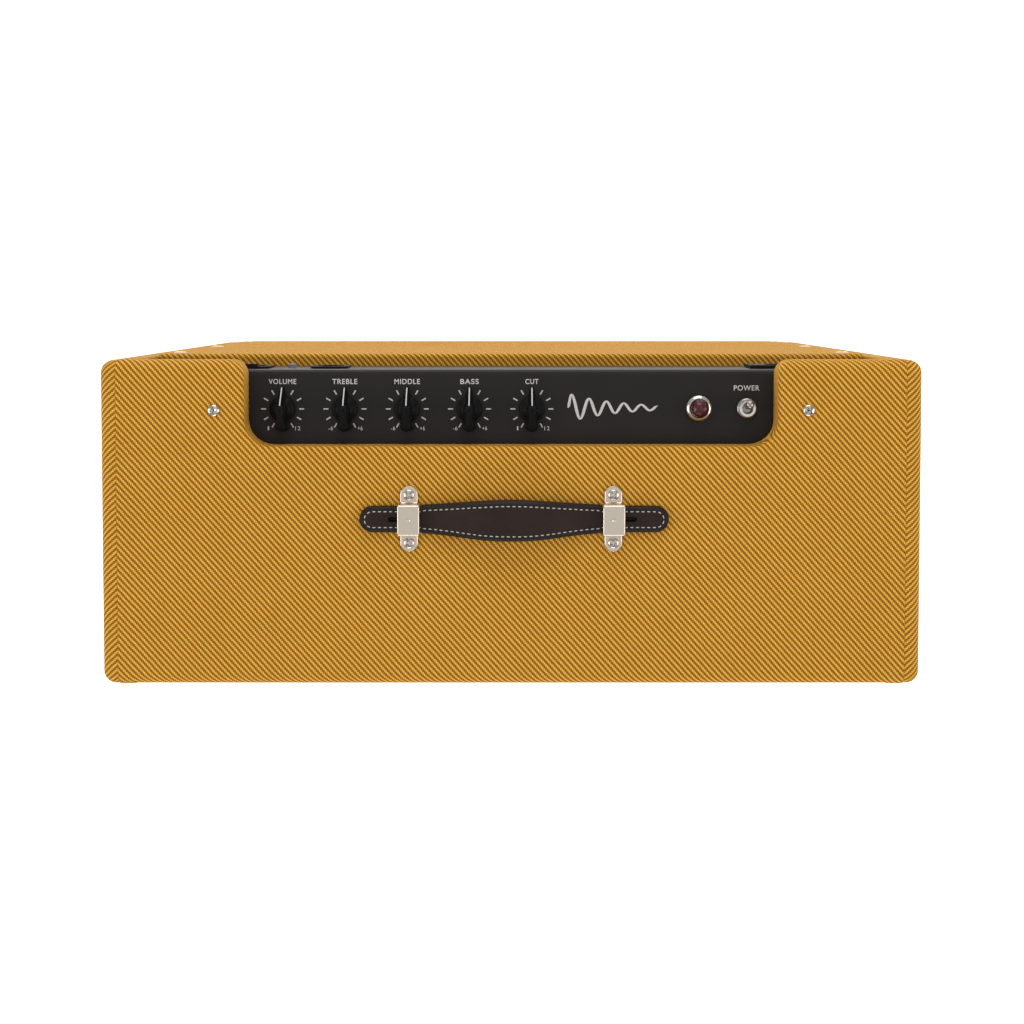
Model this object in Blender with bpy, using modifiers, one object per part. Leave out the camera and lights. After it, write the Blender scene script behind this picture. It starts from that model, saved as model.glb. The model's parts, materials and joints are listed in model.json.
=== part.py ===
"""Tweed-covered guitar combo amplifier with a recessed top control panel.

Metres, +Z up. The origin is on the floor, under the middle of the cabinet. The grille faces -Y and the
connectors face +Y, so the control panel reads upright for someone who stands in front and looks down.
"""

import math

import bmesh
import bpy
from mathutils import Matrix, Vector

MM = 0.001
GAP = 0.3 * MM  # between two pieces that touch

# ---- cabinet ----
CAB_WIDTH = 505 * MM
CAB_HEIGHT = 432 * MM
FOOT_HEIGHT = 13 * MM
WALL = 19 * MM
EDGE_RADIUS = 8 * MM
TOP_DEPTH = 200 * MM
REAR_Y = 117 * MM
PANEL_SCREW_PROUD = 2.2 * MM
FOOT_ROUNDING = 0.73 * MM  # what the rounded lower front edge takes off the depth
FRONT_FOOT_Y = -(REAR_Y + PANEL_SCREW_PROUD + FOOT_ROUNDING)
FRONT_TOP_Y = REAR_Y - TOP_DEPTH
HALF_WIDTH = CAB_WIDTH / 2
INNER_HALF = HALF_WIDTH - WALL
BASE_Z = FOOT_HEIGHT
TOP_Z = BASE_Z + CAB_HEIGHT
FLOOR_Z = BASE_Z + WALL
CEILING_Z = TOP_Z - WALL
LEAN = (FRONT_TOP_Y - FRONT_FOOT_Y) / CAB_HEIGHT
FINGERS = 7
OVERCUT = 5 * MM  # how far a cutter runs past what it cuts
FOOT_RADIUS = 16.5 * MM
FOOT_INSET_X = 34 * MM
FOOT_INSET_Y = 32 * MM

# ---- control panel cut-out in the top board ----
CUTOUT_HALF = 163.5 * MM
CUTOUT_FRONT_Y = 64 * MM
CUTOUT_FRONT_RADIUS = 15.5 * MM
CUTOUT_REAR_RADIUS = 9 * MM

# ---- front ----
CLOTH_INSET = 12 * MM
CLOTH_THICKNESS = 1.2 * MM
BAFFLE_THICKNESS = 15 * MM
SPEAKER_Z = 224 * MM
SPEAKER_HOLE_RADIUS = 141 * MM

# ---- back ----
BACK_TOP_Z = 364 * MM
BACK_THICKNESS = 11.5 * MM
BACK_PROUD = 1.2 * MM
BATTEN = 18 * MM
BACK_SCREW_X = 224.2 * MM
BACK_SCREW_Z = (60 * MM, 198 * MM, 336 * MM)
BACK_SCREW_SHANK = 2 * MM
BACK_SCREW_LENGTH = 22 * MM

# ---- chassis ----
CHASSIS_HALF = INNER_HALF - 1 * MM
CHASSIS_FRONT_Y = 25 * MM
CHASSIS_REAR_Y = 110.4 * MM
CHASSIS_TOP_Z = CEILING_Z - GAP
CHASSIS_BASE_Z = 367.2 * MM
SHEET = 1.5 * MM
CHASSIS_BEND = 3 * MM
CHASSIS_SCREW_X = 182 * MM
CHASSIS_SCREW_Y = 86.3 * MM
LEAD_X, LEAD_Y = 60 * MM, 60 * MM
BOARD_SHEET = 1.6 * MM
POT_HEIGHT = 9 * MM
POT_RADIUS = 8.2 * MM
SHAFT_PROUD = 11 * MM  # of the chassis top

# ---- controls on the panel ----
KNOB_Y = 85.9 * MM
KNOB_FIRST_X = -142.5 * MM
KNOB_PITCH = 38.85 * MM
KNOB_NAMES = ("volume", "treble", "middle", "bass", "cut")
KNOB_LIFT = 1.2 * MM  # clear height of a knob's skirt above the panel
SHAFT_RADIUS = 3 * MM
BUSHING_RADIUS = 3.6 * MM
LAMP_X = 116.8 * MM
SWITCH_X = 146.7 * MM
CONTROL_Y = 86.4 * MM
LEVER_TILT = math.radians(11)
LEVER_PIVOT_Z = CHASSIS_TOP_Z - 1 * MM

# ---- connectors on the rear face ----
CONNECTOR_Z = 397 * MM
INPUT_X = -165 * MM
BUTTON_X = -140 * MM
LINE_OUT_X = -115.5 * MM
INLET_X = 175 * MM
INLET_FLANGE = 2.2 * MM
JACK_FLANGE = 1.4 * MM
JACK_HALF_X = 11.9 * MM
JACK_TOP_HALF = 8.4 * MM  # half its top edge, between the rounded corners
BUTTON_PROUD = 2.6 * MM

# ---- handle ----
HANDLE_Y = 19.8 * MM
CAP_X = 62.6 * MM
TAB_PIVOT_X = 52 * MM
GRIP_PIVOT_X = 18 * MM
TAB_THICKNESS = 4.8 * MM
GRIP_THICKNESS = 9 * MM
LINK_END_RADIUS = TAB_THICKNESS / 2
LINK_GRIP_RADIUS = 3.4 * MM
TAB_PIVOT_Z = TOP_Z + 2.8 * MM
GRIP_PIVOT_Z = TOP_Z + 5.5 * MM
STRAP_END_X = 94 * MM
TAB_HALF_WIDTH = 8 * MM
GRIP_HALF_WIDTH = 12.5 * MM
SLOT_HALF = 1.5 * MM
CAP_SCREW_Y = 14.8 * MM
CAP_SHEET = 1.3 * MM
CAP_ROOF_HALF_X = 6.7 * MM
CAP_ROOF_HALF_Y = 9.5 * MM
CAP_EAR_HALF_X = 5.5 * MM
CAP_HEIGHT = 10 * MM

FINISHES = {
    # name: (linear colour, roughness, metallic)
    "tweed": ((0.50, 0.23, 0.035), 0.65, 0.0),
    "grille_cloth": ((0.075, 0.035, 0.022), 0.85, 0.0),
    "plywood": ((0.55, 0.38, 0.20), 0.7, 0.0),
    "black_paint": ((0.022, 0.020, 0.018), 0.45, 0.0),
    "nickel": ((0.70, 0.66, 0.58), 0.25, 1.0),
    "black_plastic": ((0.012, 0.012, 0.012), 0.4, 0.0),
    "red_jewel": ((0.16, 0.008, 0.016), 0.08, 0.0),
    "strap_leather": ((0.032, 0.018, 0.015), 0.55, 0.0),
    "rubber": ((0.02, 0.02, 0.02), 0.9, 0.0),
    "circuit_board": ((0.02, 0.12, 0.04), 0.5, 0.0),
    "aluminium": ((0.75, 0.76, 0.78), 0.4, 1.0),
    "paper_cone": ((0.03, 0.03, 0.032), 0.9, 0.0),
    "grey_plastic": ((0.25, 0.26, 0.28), 0.45, 0.0),
}


# ---------------------------------------------------------------- helpers
def clear_scene():
    for obj in list(bpy.data.objects):
        bpy.data.objects.remove(obj, do_unlink=True)


def new_collection(name, hidden=False):
    collection = bpy.data.collections.new(name)
    collection.hide_render = hidden
    bpy.context.scene.collection.children.link(collection)
    return collection


clear_scene()
AMPLIFIER = new_collection("guitar_amplifier")
CUTTERS = new_collection("cutters")


def finish_material(name):
    """The Principled material of that finish, made once."""
    material = bpy.data.materials.get(name)
    if material is None:
        colour, roughness, metallic = FINISHES[name]
        material = bpy.data.materials.new(name)
        material.use_nodes = True
        shader = material.node_tree.nodes["Principled BSDF"]
        shader.inputs["Base Color"].default_value = (*colour, 1)
        shader.inputs["Roughness"].default_value = roughness
        shader.inputs["Metallic"].default_value = metallic
    return material


def place(obj, finish=None, matrix=None):
    """Links a part with its finish, or a cutter when no finish is given."""
    if finish:
        AMPLIFIER.objects.link(obj)
        obj.data.materials.append(finish_material(finish))
    else:
        CUTTERS.objects.link(obj)
        obj.hide_render = True
        obj.display_type = "WIRE"
    if matrix is not None:
        obj.matrix_world = matrix
    return obj


def mesh_object(name, work, finish=None, matrix=None):
    """A bmesh made into an object."""
    mesh = bpy.data.meshes.new(name)
    bmesh.ops.recalc_face_normals(work, faces=work.faces)
    work.to_mesh(mesh)
    work.free()
    return place(bpy.data.objects.new(name, mesh), finish, matrix)


def add_box(work, low, high, shear=None):
    """Adds a box to a bmesh. With shear, a function of z, its y is counted from that function."""
    low, high = Vector(low), Vector(high)
    made = bmesh.ops.create_cube(work, size=1.0)["verts"]
    for vert in made:
        vert.co = Vector(
            (low[k] + high[k]) / 2 + vert.co[k] * (high[k] - low[k]) for k in range(3)
        )
        if shear:
            vert.co.y += shear(vert.co.z)
    return made


def boxes(name, corners, finish=None, matrix=None, shear=None):
    """One or more boxes in one mesh."""
    work = bmesh.new()
    for low, high in corners:
        add_box(work, low, high, shear)
    return mesh_object(name, work, finish, matrix)


def round_edges(obj, width, segments=2, angle=40):
    bevel = obj.modifiers.new("round_edges", "BEVEL")
    bevel.width = width
    bevel.segments = segments
    bevel.limit_method = "ANGLE"
    bevel.angle_limit = math.radians(angle)
    return obj


def combine(obj, *others, operation="DIFFERENCE"):
    """Boolean modifiers that cut, join or trim obj by each of the others."""
    for other in others:
        boolean = obj.modifiers.new(operation.lower(), "BOOLEAN")
        boolean.operation = operation
        boolean.object = other
    return obj


def turn_to(axis, centre):
    """The matrix that puts local +Z along axis, at centre."""
    turn = Vector(axis).to_track_quat("Z", "Y").to_matrix().to_4x4()
    return Matrix.Translation(centre) @ turn


def rod(name, radius, length, centre, axis=(0, 0, 1), finish=None, top_radius=None, sides=20):
    """A cylinder or cone on an axis, centred at centre."""
    work = bmesh.new()
    bmesh.ops.create_cone(
        work,
        cap_ends=True,
        segments=sides,
        radius1=radius,
        radius2=radius if top_radius is None else top_radius,
        depth=length,
    )
    return mesh_object(name, work, finish, turn_to(axis, centre))


def rods(name, radius, length, centres, axis=(0, 0, 1), sides=16):
    """Several equal cylinders in one cutter."""
    work = bmesh.new()
    turn = turn_to(axis, (0, 0, 0))
    for centre in centres:
        bmesh.ops.create_cone(
            work,
            cap_ends=True,
            segments=sides,
            radius1=radius,
            radius2=radius,
            depth=length,
            matrix=Matrix.Translation(centre) @ turn,
        )
    return mesh_object(name, work)


def turned(name, profile, finish, matrix, steps=32):
    """A turned piece. The profile is (radius, height) pairs, down the outer side first."""
    mesh = bpy.data.meshes.new(name)
    closed = profile[0][0] > 0 or profile[-1][0] > 0
    count = len(profile)
    edges = [(i, i + 1) for i in range(count - 1)] + ([(count - 1, 0)] if closed else [])
    mesh.from_pydata([(radius, 0, height) for radius, height in profile], edges, [])
    obj = place(bpy.data.objects.new(name, mesh), finish, matrix)
    screw = obj.modifiers.new("turn", "SCREW")
    screw.steps = steps
    screw.render_steps = steps
    screw.use_merge_vertices = True
    screw.merge_threshold = 0.00001
    return obj


def arc(centre, radius, start, end, steps=6):
    """Points along an arc, angles in degrees."""
    made = []
    for i in range(steps + 1):
        angle = math.radians(start + (end - start) * i / steps)
        made.append((centre[0] + radius * math.cos(angle), centre[1] + radius * math.sin(angle)))
    return made


def plate(name, outline, thickness, matrix, finish=None):
    """A flat outline with thickness, as a mesh that can be cut, centred on its matrix's XY plane."""
    curve = bpy.data.curves.new(name, "CURVE")
    curve.dimensions = "2D"
    curve.fill_mode = "BOTH"
    curve.extrude = thickness / 2
    spline = curve.splines.new("POLY")
    spline.points.add(len(outline) - 1)
    for point, (x, y) in zip(spline.points, outline):
        point.co = (x, y, 0, 1)
    spline.use_cyclic_u = True
    guide = bpy.data.objects.new(name + "_outline", curve)
    CUTTERS.objects.link(guide)
    graph = bpy.context.evaluated_depsgraph_get()
    mesh = bpy.data.meshes.new_from_object(guide.evaluated_get(graph))
    bpy.data.objects.remove(guide, do_unlink=True)
    work = bmesh.new()
    work.from_mesh(mesh)
    bmesh.ops.remove_doubles(work, verts=work.verts, dist=0.00001)
    mesh.materials.clear()
    bmesh.ops.recalc_face_normals(work, faces=work.faces)
    work.to_mesh(mesh)
    work.free()
    return place(bpy.data.objects.new(name, mesh), finish, matrix)


def smooth(obj, angle=35):
    """Smooth shading with sharp edges kept."""
    obj.data.shade_smooth()
    obj.data.set_sharp_from_angle(angle=math.radians(angle))
    return obj


def front_y(z):
    """Where the cabinet's leaning front plane is at height z."""
    return FRONT_FOOT_Y + (z - BASE_Z) * LEAN


# ---------------------------------------------------------------- cabinet
def cabinet_form():
    """The cabinet's outer shape: upright back, leaning front, every edge rounded."""
    work = bmesh.new()
    for vert in add_box(work, (-HALF_WIDTH, FRONT_FOOT_Y, BASE_Z), (HALF_WIDTH, REAR_Y, TOP_Z)):
        if vert.co.y < 0:
            vert.co.y = front_y(vert.co.z)
    form = mesh_object("cabinet_form", work)
    return round_edges(form, EDGE_RADIUS, 4)


def finger_boxes(joint_z, level_low, level_high, odd, side_board):
    """The slots that a corner's fingers leave, along both sides of the cabinet at one level."""
    start = front_y(joint_z)
    pitch = (REAR_Y - start) / FINGERS
    made = []
    for i in range(1 if odd else 0, FINGERS, 2):
        low_y = start + i * pitch - GAP / 2
        high_y = start + (i + 1) * pitch + GAP / 2
        if i == 0:
            low_y -= 4 * OVERCUT
        if i == FINGERS - 1:
            high_y += OVERCUT
        for side in (-1, 1):
            inner = side * (INNER_HALF - (OVERCUT if side_board else GAP))
            outer = side * (HALF_WIDTH + OVERCUT)
            near, far = sorted((inner, outer))
            made.append(((near, low_y, level_low), (far, high_y, level_high)))
    return made


def cabinet_boards():
    """Four pine boards, box-jointed at the corners."""
    form = cabinet_form()
    levels = {
        "top": (CEILING_Z, TOP_Z),
        "bottom": (BASE_Z, FLOOR_Z),
    }
    flat_slots = {}
    for level, (low, high) in levels.items():
        joint = CEILING_Z if level == "top" else FLOOR_Z
        spans = finger_boxes(joint, low - OVERCUT, high + OVERCUT, True, False)
        flat_slots[level] = boxes(f"{level}_board_slots", spans)
    side_spans = finger_boxes(CEILING_Z, CEILING_Z - GAP, TOP_Z + OVERCUT, False, True)
    side_spans += finger_boxes(FLOOR_Z, BASE_Z - OVERCUT, FLOOR_Z + GAP, False, True)
    side_slots = boxes("side_board_slots", side_spans)
    made = {}
    reach = HALF_WIDTH + OVERCUT
    for level, (low, high) in levels.items():
        near_corner = (-reach, FRONT_FOOT_Y - OVERCUT, low)
        far_corner = (reach, REAR_Y + OVERCUT, high + (OVERCUT if level == "top" else 0))
        board = boxes(f"cab_{level}_board", [(near_corner, far_corner)], "tweed")
        made[level] = combine(board, form, operation="INTERSECT")
        combine(board, flat_slots[level])
    for side, name in ((-1, "left"), (1, "right")):
        near, far = sorted((side * INNER_HALF, side * (HALF_WIDTH + OVERCUT)))
        near_corner = (near, FRONT_FOOT_Y - OVERCUT, BASE_Z - OVERCUT)
        far_corner = (far, REAR_Y + OVERCUT, TOP_Z + OVERCUT)
        board = boxes(f"cab_side_{name}", [(near_corner, far_corner)], "tweed")
        combine(board, form, operation="INTERSECT")
        combine(board, side_slots)
    return made


def panel_cutout():
    """The notch in the top board: rounded at its front corners, flared at the rear edge."""
    half, front, rear = CUTOUT_HALF, CUTOUT_FRONT_Y, REAR_Y
    inner, flare = CUTOUT_FRONT_RADIUS, CUTOUT_REAR_RADIUS
    beyond = rear + 10 * MM
    outline = [(-half - flare, beyond)]
    outline += arc((-half - flare, rear - flare), flare, 90, 0)
    outline += arc((-half + inner, front + inner), inner, 180, 270)
    outline += arc((half - inner, front + inner), inner, 270, 360)
    outline += arc((half + flare, rear - flare), flare, 180, 90)
    outline += [(half + flare, beyond)]
    return plate("panel_cutout", outline, 3 * WALL, Matrix.Translation((0, 0, TOP_Z - WALL / 2)))


def cap_screw_spots():
    """Where the handle's four screws go in."""
    return [(side * CAP_X, HANDLE_Y + end * CAP_SCREW_Y) for side in (-1, 1) for end in (-1, 1)]


def cut_top_board(board):
    combine(board, panel_cutout())
    chassis_holes = [(side * CHASSIS_SCREW_X, CHASSIS_SCREW_Y, TOP_Z) for side in (-1, 1)]
    combine(board, rods("chassis_screw_holes", 2.7 * MM, 4 * WALL, chassis_holes, sides=12))
    handle_holes = [(x, y, TOP_Z) for x, y in cap_screw_spots()]
    combine(board, rods("handle_screw_holes", 2.2 * MM, 2 * 16 * MM, handle_holes, sides=12))


def feet():
    """Four rubber feet with a recess for the screw."""
    for side, hand in ((-1, "left"), (1, "right")):
        for y, end in ((FRONT_FOOT_Y + FOOT_INSET_Y, "front"), (REAR_Y - FOOT_INSET_Y, "rear")):
            profile = [
                (0, FOOT_HEIGHT - GAP),
                (FOOT_RADIUS, FOOT_HEIGHT - GAP),
                (14 * MM, 1 * MM),
                (13 * MM, 0),
                (6 * MM, 0),
                (6 * MM, 6 * MM),
                (0, 6 * MM),
            ]
            spot = Matrix.Translation((side * (HALF_WIDTH - FOOT_INSET_X), y, 0))
            smooth(turned(f"foot_{end}_{hand}", profile, "rubber", spot, 24))


# ---------------------------------------------------------------- front and back
def slab(name, half_width, near, thickness, finish):
    """A board that leans with the front, near metres behind the front plane."""
    low, high = FLOOR_Z + GAP, CEILING_Z - GAP
    corners = [((-half_width, near, low), (half_width, near + thickness, high))]
    return boxes(name, corners, finish, shear=front_y)


def speaker_axis():
    """Local +Z points out through the grille, and the origin is on the baffle's rear face."""
    y = front_y(SPEAKER_Z) + CLOTH_INSET + CLOTH_THICKNESS + GAP + BAFFLE_THICKNESS
    return turn_to((0, -1, LEAN), (0, y, SPEAKER_Z))


def front_boards():
    baffle_near = CLOTH_INSET + CLOTH_THICKNESS + GAP
    slab("grille_cloth", INNER_HALF - GAP, CLOTH_INSET, CLOTH_THICKNESS, "grille_cloth")
    baffle = slab("baffle_board", INNER_HALF - GAP, baffle_near, BAFFLE_THICKNESS, "plywood")
    axis = speaker_axis()
    hole = rod("speaker_hole", SPEAKER_HOLE_RADIUS, 80 * MM, (0, 0, 0), sides=48)
    hole.matrix_world = axis
    combine(baffle, hole)


def back_boards():
    """The rear panel, the two battens that it is screwed to, and its six screws."""
    rear = REAR_Y + BACK_PROUD
    front = rear - BACK_THICKNESS
    half = INNER_HALF - GAP
    panel = boxes(
        "back_panel",
        [((-half, front, FLOOR_Z + GAP), (half, rear, BACK_TOP_Z))],
        "tweed",
    )
    round_edges(panel, 2.5 * MM, 2)
    spots = [(side * BACK_SCREW_X, z) for side in (-1, 1) for z in BACK_SCREW_Z]
    holes = rods(
        "back_screw_holes",
        BACK_SCREW_SHANK + GAP,
        2 * 24 * MM,
        [(x, rear, z) for x, z in spots],
        axis=(0, 1, 0),
        sides=10,
    )
    combine(panel, holes)
    for side, hand in ((-1, "left"), (1, "right")):
        near, far = sorted((side * half, side * (half - BATTEN)))
        batten = boxes(
            f"back_batten_{hand}",
            [((near, front - GAP - BATTEN, FLOOR_Z + GAP), (far, front - GAP, BACK_TOP_Z - 1 * MM))],
            "plywood",
        )
        combine(batten, holes)
    crown = REAR_Y + PANEL_SCREW_PROUD - rear
    profile = [
        (0, crown),
        (2.6 * MM, crown - 0.2 * MM),
        (4.8 * MM, GAP),
        (BACK_SCREW_SHANK, GAP),
        (BACK_SCREW_SHANK, 3 * MM - BACK_SCREW_LENGTH),
        (0, -BACK_SCREW_LENGTH),
    ]
    for index, (x, z) in enumerate(spots):
        spot = turn_to((0, 1, 0), (x, rear, z))
        smooth(turned(f"back_screw_{index + 1}", profile, "nickel", spot, 12))


# ---------------------------------------------------------------- chassis
def open_box(name, low, high, wall, radius, finish):
    """A bent-sheet box, open underneath."""
    work = bmesh.new()
    add_box(work, low, high)
    floor = [face for face in work.faces if face.calc_center_median().z < low[2] + 0.0001]
    bmesh.ops.delete(work, geom=floor, context="FACES")
    obj = mesh_object(name, work, finish)
    round_edges(obj, radius, 3)
    shell = obj.modifiers.new("sheet", "SOLIDIFY")
    shell.thickness = wall
    shell.offset = -1
    shell.use_even_offset = True
    return obj


def knob_spots():
    return [(KNOB_FIRST_X + i * KNOB_PITCH, KNOB_Y) for i in range(len(KNOB_NAMES))]


def chassis():
    """The black steel chassis, its lower cover and the two screws that hang it from the top board."""
    body = open_box(
        "chassis",
        (-CHASSIS_HALF, CHASSIS_FRONT_Y, CHASSIS_BASE_Z),
        (CHASSIS_HALF, CHASSIS_REAR_Y, CHASSIS_TOP_Z),
        SHEET,
        CHASSIS_BEND,
        "black_paint",
    )
    top = CHASSIS_TOP_Z
    deep = 20 * MM
    pots = [(x, y, top) for x, y in knob_spots()]
    combine(body, rods("pot_holes", BUSHING_RADIUS + GAP, deep, pots, sides=12))
    combine(body, rods("lamp_hole", 6 * MM + GAP, deep, [(LAMP_X, CONTROL_Y, top)], sides=24))
    combine(body, rods("switch_hole", 5 * MM + GAP, deep, [(SWITCH_X, CONTROL_Y, top)], sides=24))
    hung = [(side * CHASSIS_SCREW_X, CHASSIS_SCREW_Y, top) for side in (-1, 1)]
    combine(body, rods("hanger_holes", 2.7 * MM, deep, hung, sides=12))
    rear = CHASSIS_REAR_Y
    round_holes = [(x, rear, CONNECTOR_Z) for x in (INPUT_X, LINE_OUT_X)]
    jack_holes = rods("jack_holes", 11.6 * MM, deep, round_holes, axis=(0, 1, 0), sides=32)
    button_hole = rods(
        "button_hole", 3.2 * MM, deep, [(BUTTON_X, rear, CONNECTOR_Z)], axis=(0, 1, 0), sides=12
    )
    near_corner = (INLET_X - 14.6 * MM, rear - deep, CONNECTOR_Z - 10.6 * MM)
    far_corner = (INLET_X + 14.6 * MM, rear + deep, CONNECTOR_Z + 10.6 * MM)
    inlet_hole = boxes("inlet_hole", [(near_corner, far_corner)])
    combine(body, jack_holes, button_hole, inlet_hole)
    inset = 2 * MM
    cover = boxes(
        "chassis_cover",
        [
            (
                (-CHASSIS_HALF + inset, CHASSIS_FRONT_Y, CHASSIS_BASE_Z - GAP - SHEET),
                (CHASSIS_HALF - inset, CHASSIS_REAR_Y - inset, CHASSIS_BASE_Z - GAP),
            )
        ],
        "aluminium",
    )
    grommet = rods(
        "lead_hole", 3.5 * MM, deep, [(LEAD_X, LEAD_Y, CHASSIS_BASE_Z)], sides=16
    )
    combine(cover, grommet)
    shank = 2.4 * MM
    length = 27 * MM
    profile = [
        (0, 2.3 * MM),
        (2.2 * MM, 1.9 * MM),
        (3.6 * MM, GAP),
        (shank, GAP),
        (shank, -length),
        (0, -length),
    ]
    for side, hand in ((-1, "left"), (1, "right")):
        spot = Matrix.Translation((side * CHASSIS_SCREW_X, CHASSIS_SCREW_Y, TOP_Z))
        smooth(turned(f"chassis_screw_{hand}", profile, "nickel", spot, 16))


def electronics():
    """The control board with its five potentiometers, and the power module under it."""
    under = CHASSIS_TOP_Z - SHEET - GAP
    board_top = under - POT_HEIGHT
    board_half_y = 16 * MM
    board = boxes(
        "control_board",
        [
            (
                (KNOB_FIRST_X - 14 * MM, KNOB_Y - board_half_y, board_top - BOARD_SHEET),
                (KNOB_FIRST_X + 4 * KNOB_PITCH + 14 * MM, KNOB_Y + board_half_y, board_top),
            )
        ],
        "circuit_board",
    )
    bodies = rods(
        "pot_bodies",
        POT_RADIUS,
        POT_HEIGHT + 1 * MM,
        [(x, y, board_top + (POT_HEIGHT - 1 * MM) / 2) for x, y in knob_spots()],
        sides=16,
    )
    bushing = 4.6 * MM
    bushings = rods(
        "pot_bushings",
        BUSHING_RADIUS,
        bushing,
        [(x, y, under - 2 * MM + bushing / 2) for x, y in knob_spots()],
        sides=12,
    )
    bores = rods(
        "pot_bores",
        SHAFT_RADIUS + GAP,
        30 * MM,
        [(x, y, board_top + 2 * MM + 15 * MM) for x, y in knob_spots()],
        sides=12,
    )
    combine(board, bodies, operation="UNION")
    combine(board, bushings, operation="UNION")
    combine(board, bores)
    low, high = board_top + 2 * MM + GAP, CHASSIS_TOP_Z + SHAFT_PROUD
    for name, (x, y) in zip(KNOB_NAMES, knob_spots()):
        middle = (x, y, (low + high) / 2)
        rod(f"pot_shaft_{name}", SHAFT_RADIUS, high - low, middle, finish="aluminium", sides=12)

    floor = CHASSIS_BASE_Z + 3 * MM
    module = boxes(
        "power_module",
        [((-170 * MM, 32 * MM, floor), (120 * MM, 100 * MM, floor + BOARD_SHEET))],
        "circuit_board",
    )
    blocks = boxes(
        "module_blocks",
        [
            ((-160 * MM, 38 * MM, floor + 1 * MM), (-118 * MM, 78 * MM, floor + 30 * MM)),
            ((-20 * MM, 34 * MM, floor + 1 * MM), (60 * MM, 52 * MM, floor + 34 * MM)),
            ((80 * MM, 36 * MM, floor + 1 * MM), (112 * MM, 66 * MM, floor + 24 * MM)),
        ],
    )
    cans = rods(
        "module_capacitors",
        9 * MM,
        28 * MM,
        [(x, 56 * MM, floor + 14.5 * MM) for x in (-95 * MM, -70 * MM, -45 * MM)],
        sides=16,
    )
    combine(module, blocks, operation="UNION")
    combine(module, cans, operation="UNION")


# ---------------------------------------------------------------- controls
def knob_section(scale_tail, scale_side, tip, height):
    """A closed outline of the pointer knob: a round tail, a narrow waist and a pointed tip."""
    tail_radius = 3.9 * MM * scale_side
    waist = 2.9 * MM * scale_side
    tail_y = -10 * MM * scale_tail
    points = arc((0, tail_y), tail_radius, 180, 360, 6)
    points += [(waist, 0), (waist * 1.02, 3 * MM), (0.55 * MM, tip), (-0.55 * MM, tip)]
    points += [(-waist * 1.02, 3 * MM), (-waist, 0)]
    return [Vector((x, y, height)) for x, y in points]


def pointer(work):
    """The pointer of a knob: lofted sections that narrow upwards, the tip lower than the tail."""
    sections = [
        knob_section(1.0, 1.0, 13.9 * MM, 1.5 * MM),
        knob_section(0.98, 0.92, 13.6 * MM, 6 * MM),
        knob_section(0.94, 0.72, 10 * MM, 13 * MM),
    ]
    tilt_from = 5 * MM
    for vert in sections[2]:
        vert.z -= max(0.0, vert.y - tilt_from) * 0.75
    rings = [[work.verts.new(point) for point in section] for section in sections]
    count = len(rings[0])
    for low, high in zip(rings, rings[1:]):
        for i in range(count):
            j = (i + 1) % count
            work.faces.new((low[i], low[j], high[j], high[i]))
    work.faces.new(list(reversed(rings[0])))
    work.faces.new(rings[-1])


def knobs():
    base_z = CHASSIS_TOP_Z + KNOB_LIFT
    work = bmesh.new()
    pointer(work)
    pointer_body = mesh_object("knob_pointer", work)
    shaft_top = CHASSIS_TOP_Z + SHAFT_PROUD - base_z
    for name, (x, y) in zip(KNOB_NAMES, knob_spots()):
        spot = Matrix.Translation((x, y, base_z))
        profile = [(0, 5 * MM), (6.6 * MM, 5 * MM), (8.8 * MM, 3.4 * MM), (9.2 * MM, 0), (0, 0)]
        skirt = turned(f"knob_{name}", profile, "black_plastic", spot, 24)
        cap = pointer_body.copy()
        cap.name = f"pointer_{name}"
        CUTTERS.objects.link(cap)
        cap.matrix_world = spot
        combine(skirt, cap, operation="UNION")
        bore = rod(f"bore_{name}", SHAFT_RADIUS + GAP, 2 * (shaft_top + GAP), (x, y, base_z), sides=12)
        combine(skirt, bore)
    bpy.data.objects.remove(pointer_body)


def lamp():
    """The pilot lamp: a nickel bezel and its faceted jewel."""
    spot = Matrix.Translation((LAMP_X, CONTROL_Y, CHASSIS_TOP_Z))
    bezel = [
        (6.1 * MM, 4.4 * MM),
        (7.4 * MM, 3.7 * MM),
        (8.2 * MM, 1.4 * MM),
        (8.2 * MM, GAP),
        (6 * MM, GAP),
        (6 * MM, -12 * MM),
        (5 * MM, -12 * MM),
        (5 * MM, 3 * MM),
        (5.6 * MM, 4 * MM),
    ]
    smooth(turned("lamp_bezel", bezel, "nickel", spot, 24))
    jewel = [
        (0, 10.5 * MM),
        (2.6 * MM, 9.9 * MM),
        (4.6 * MM, 8.0 * MM),
        (5.4 * MM, 6.9 * MM),
        (4.6 * MM, 5.6 * MM),
        (4.6 * MM, -6 * MM),
        (0, -6 * MM),
    ]
    turned("lamp_jewel", jewel, "red_jewel", spot, 16)


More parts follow.
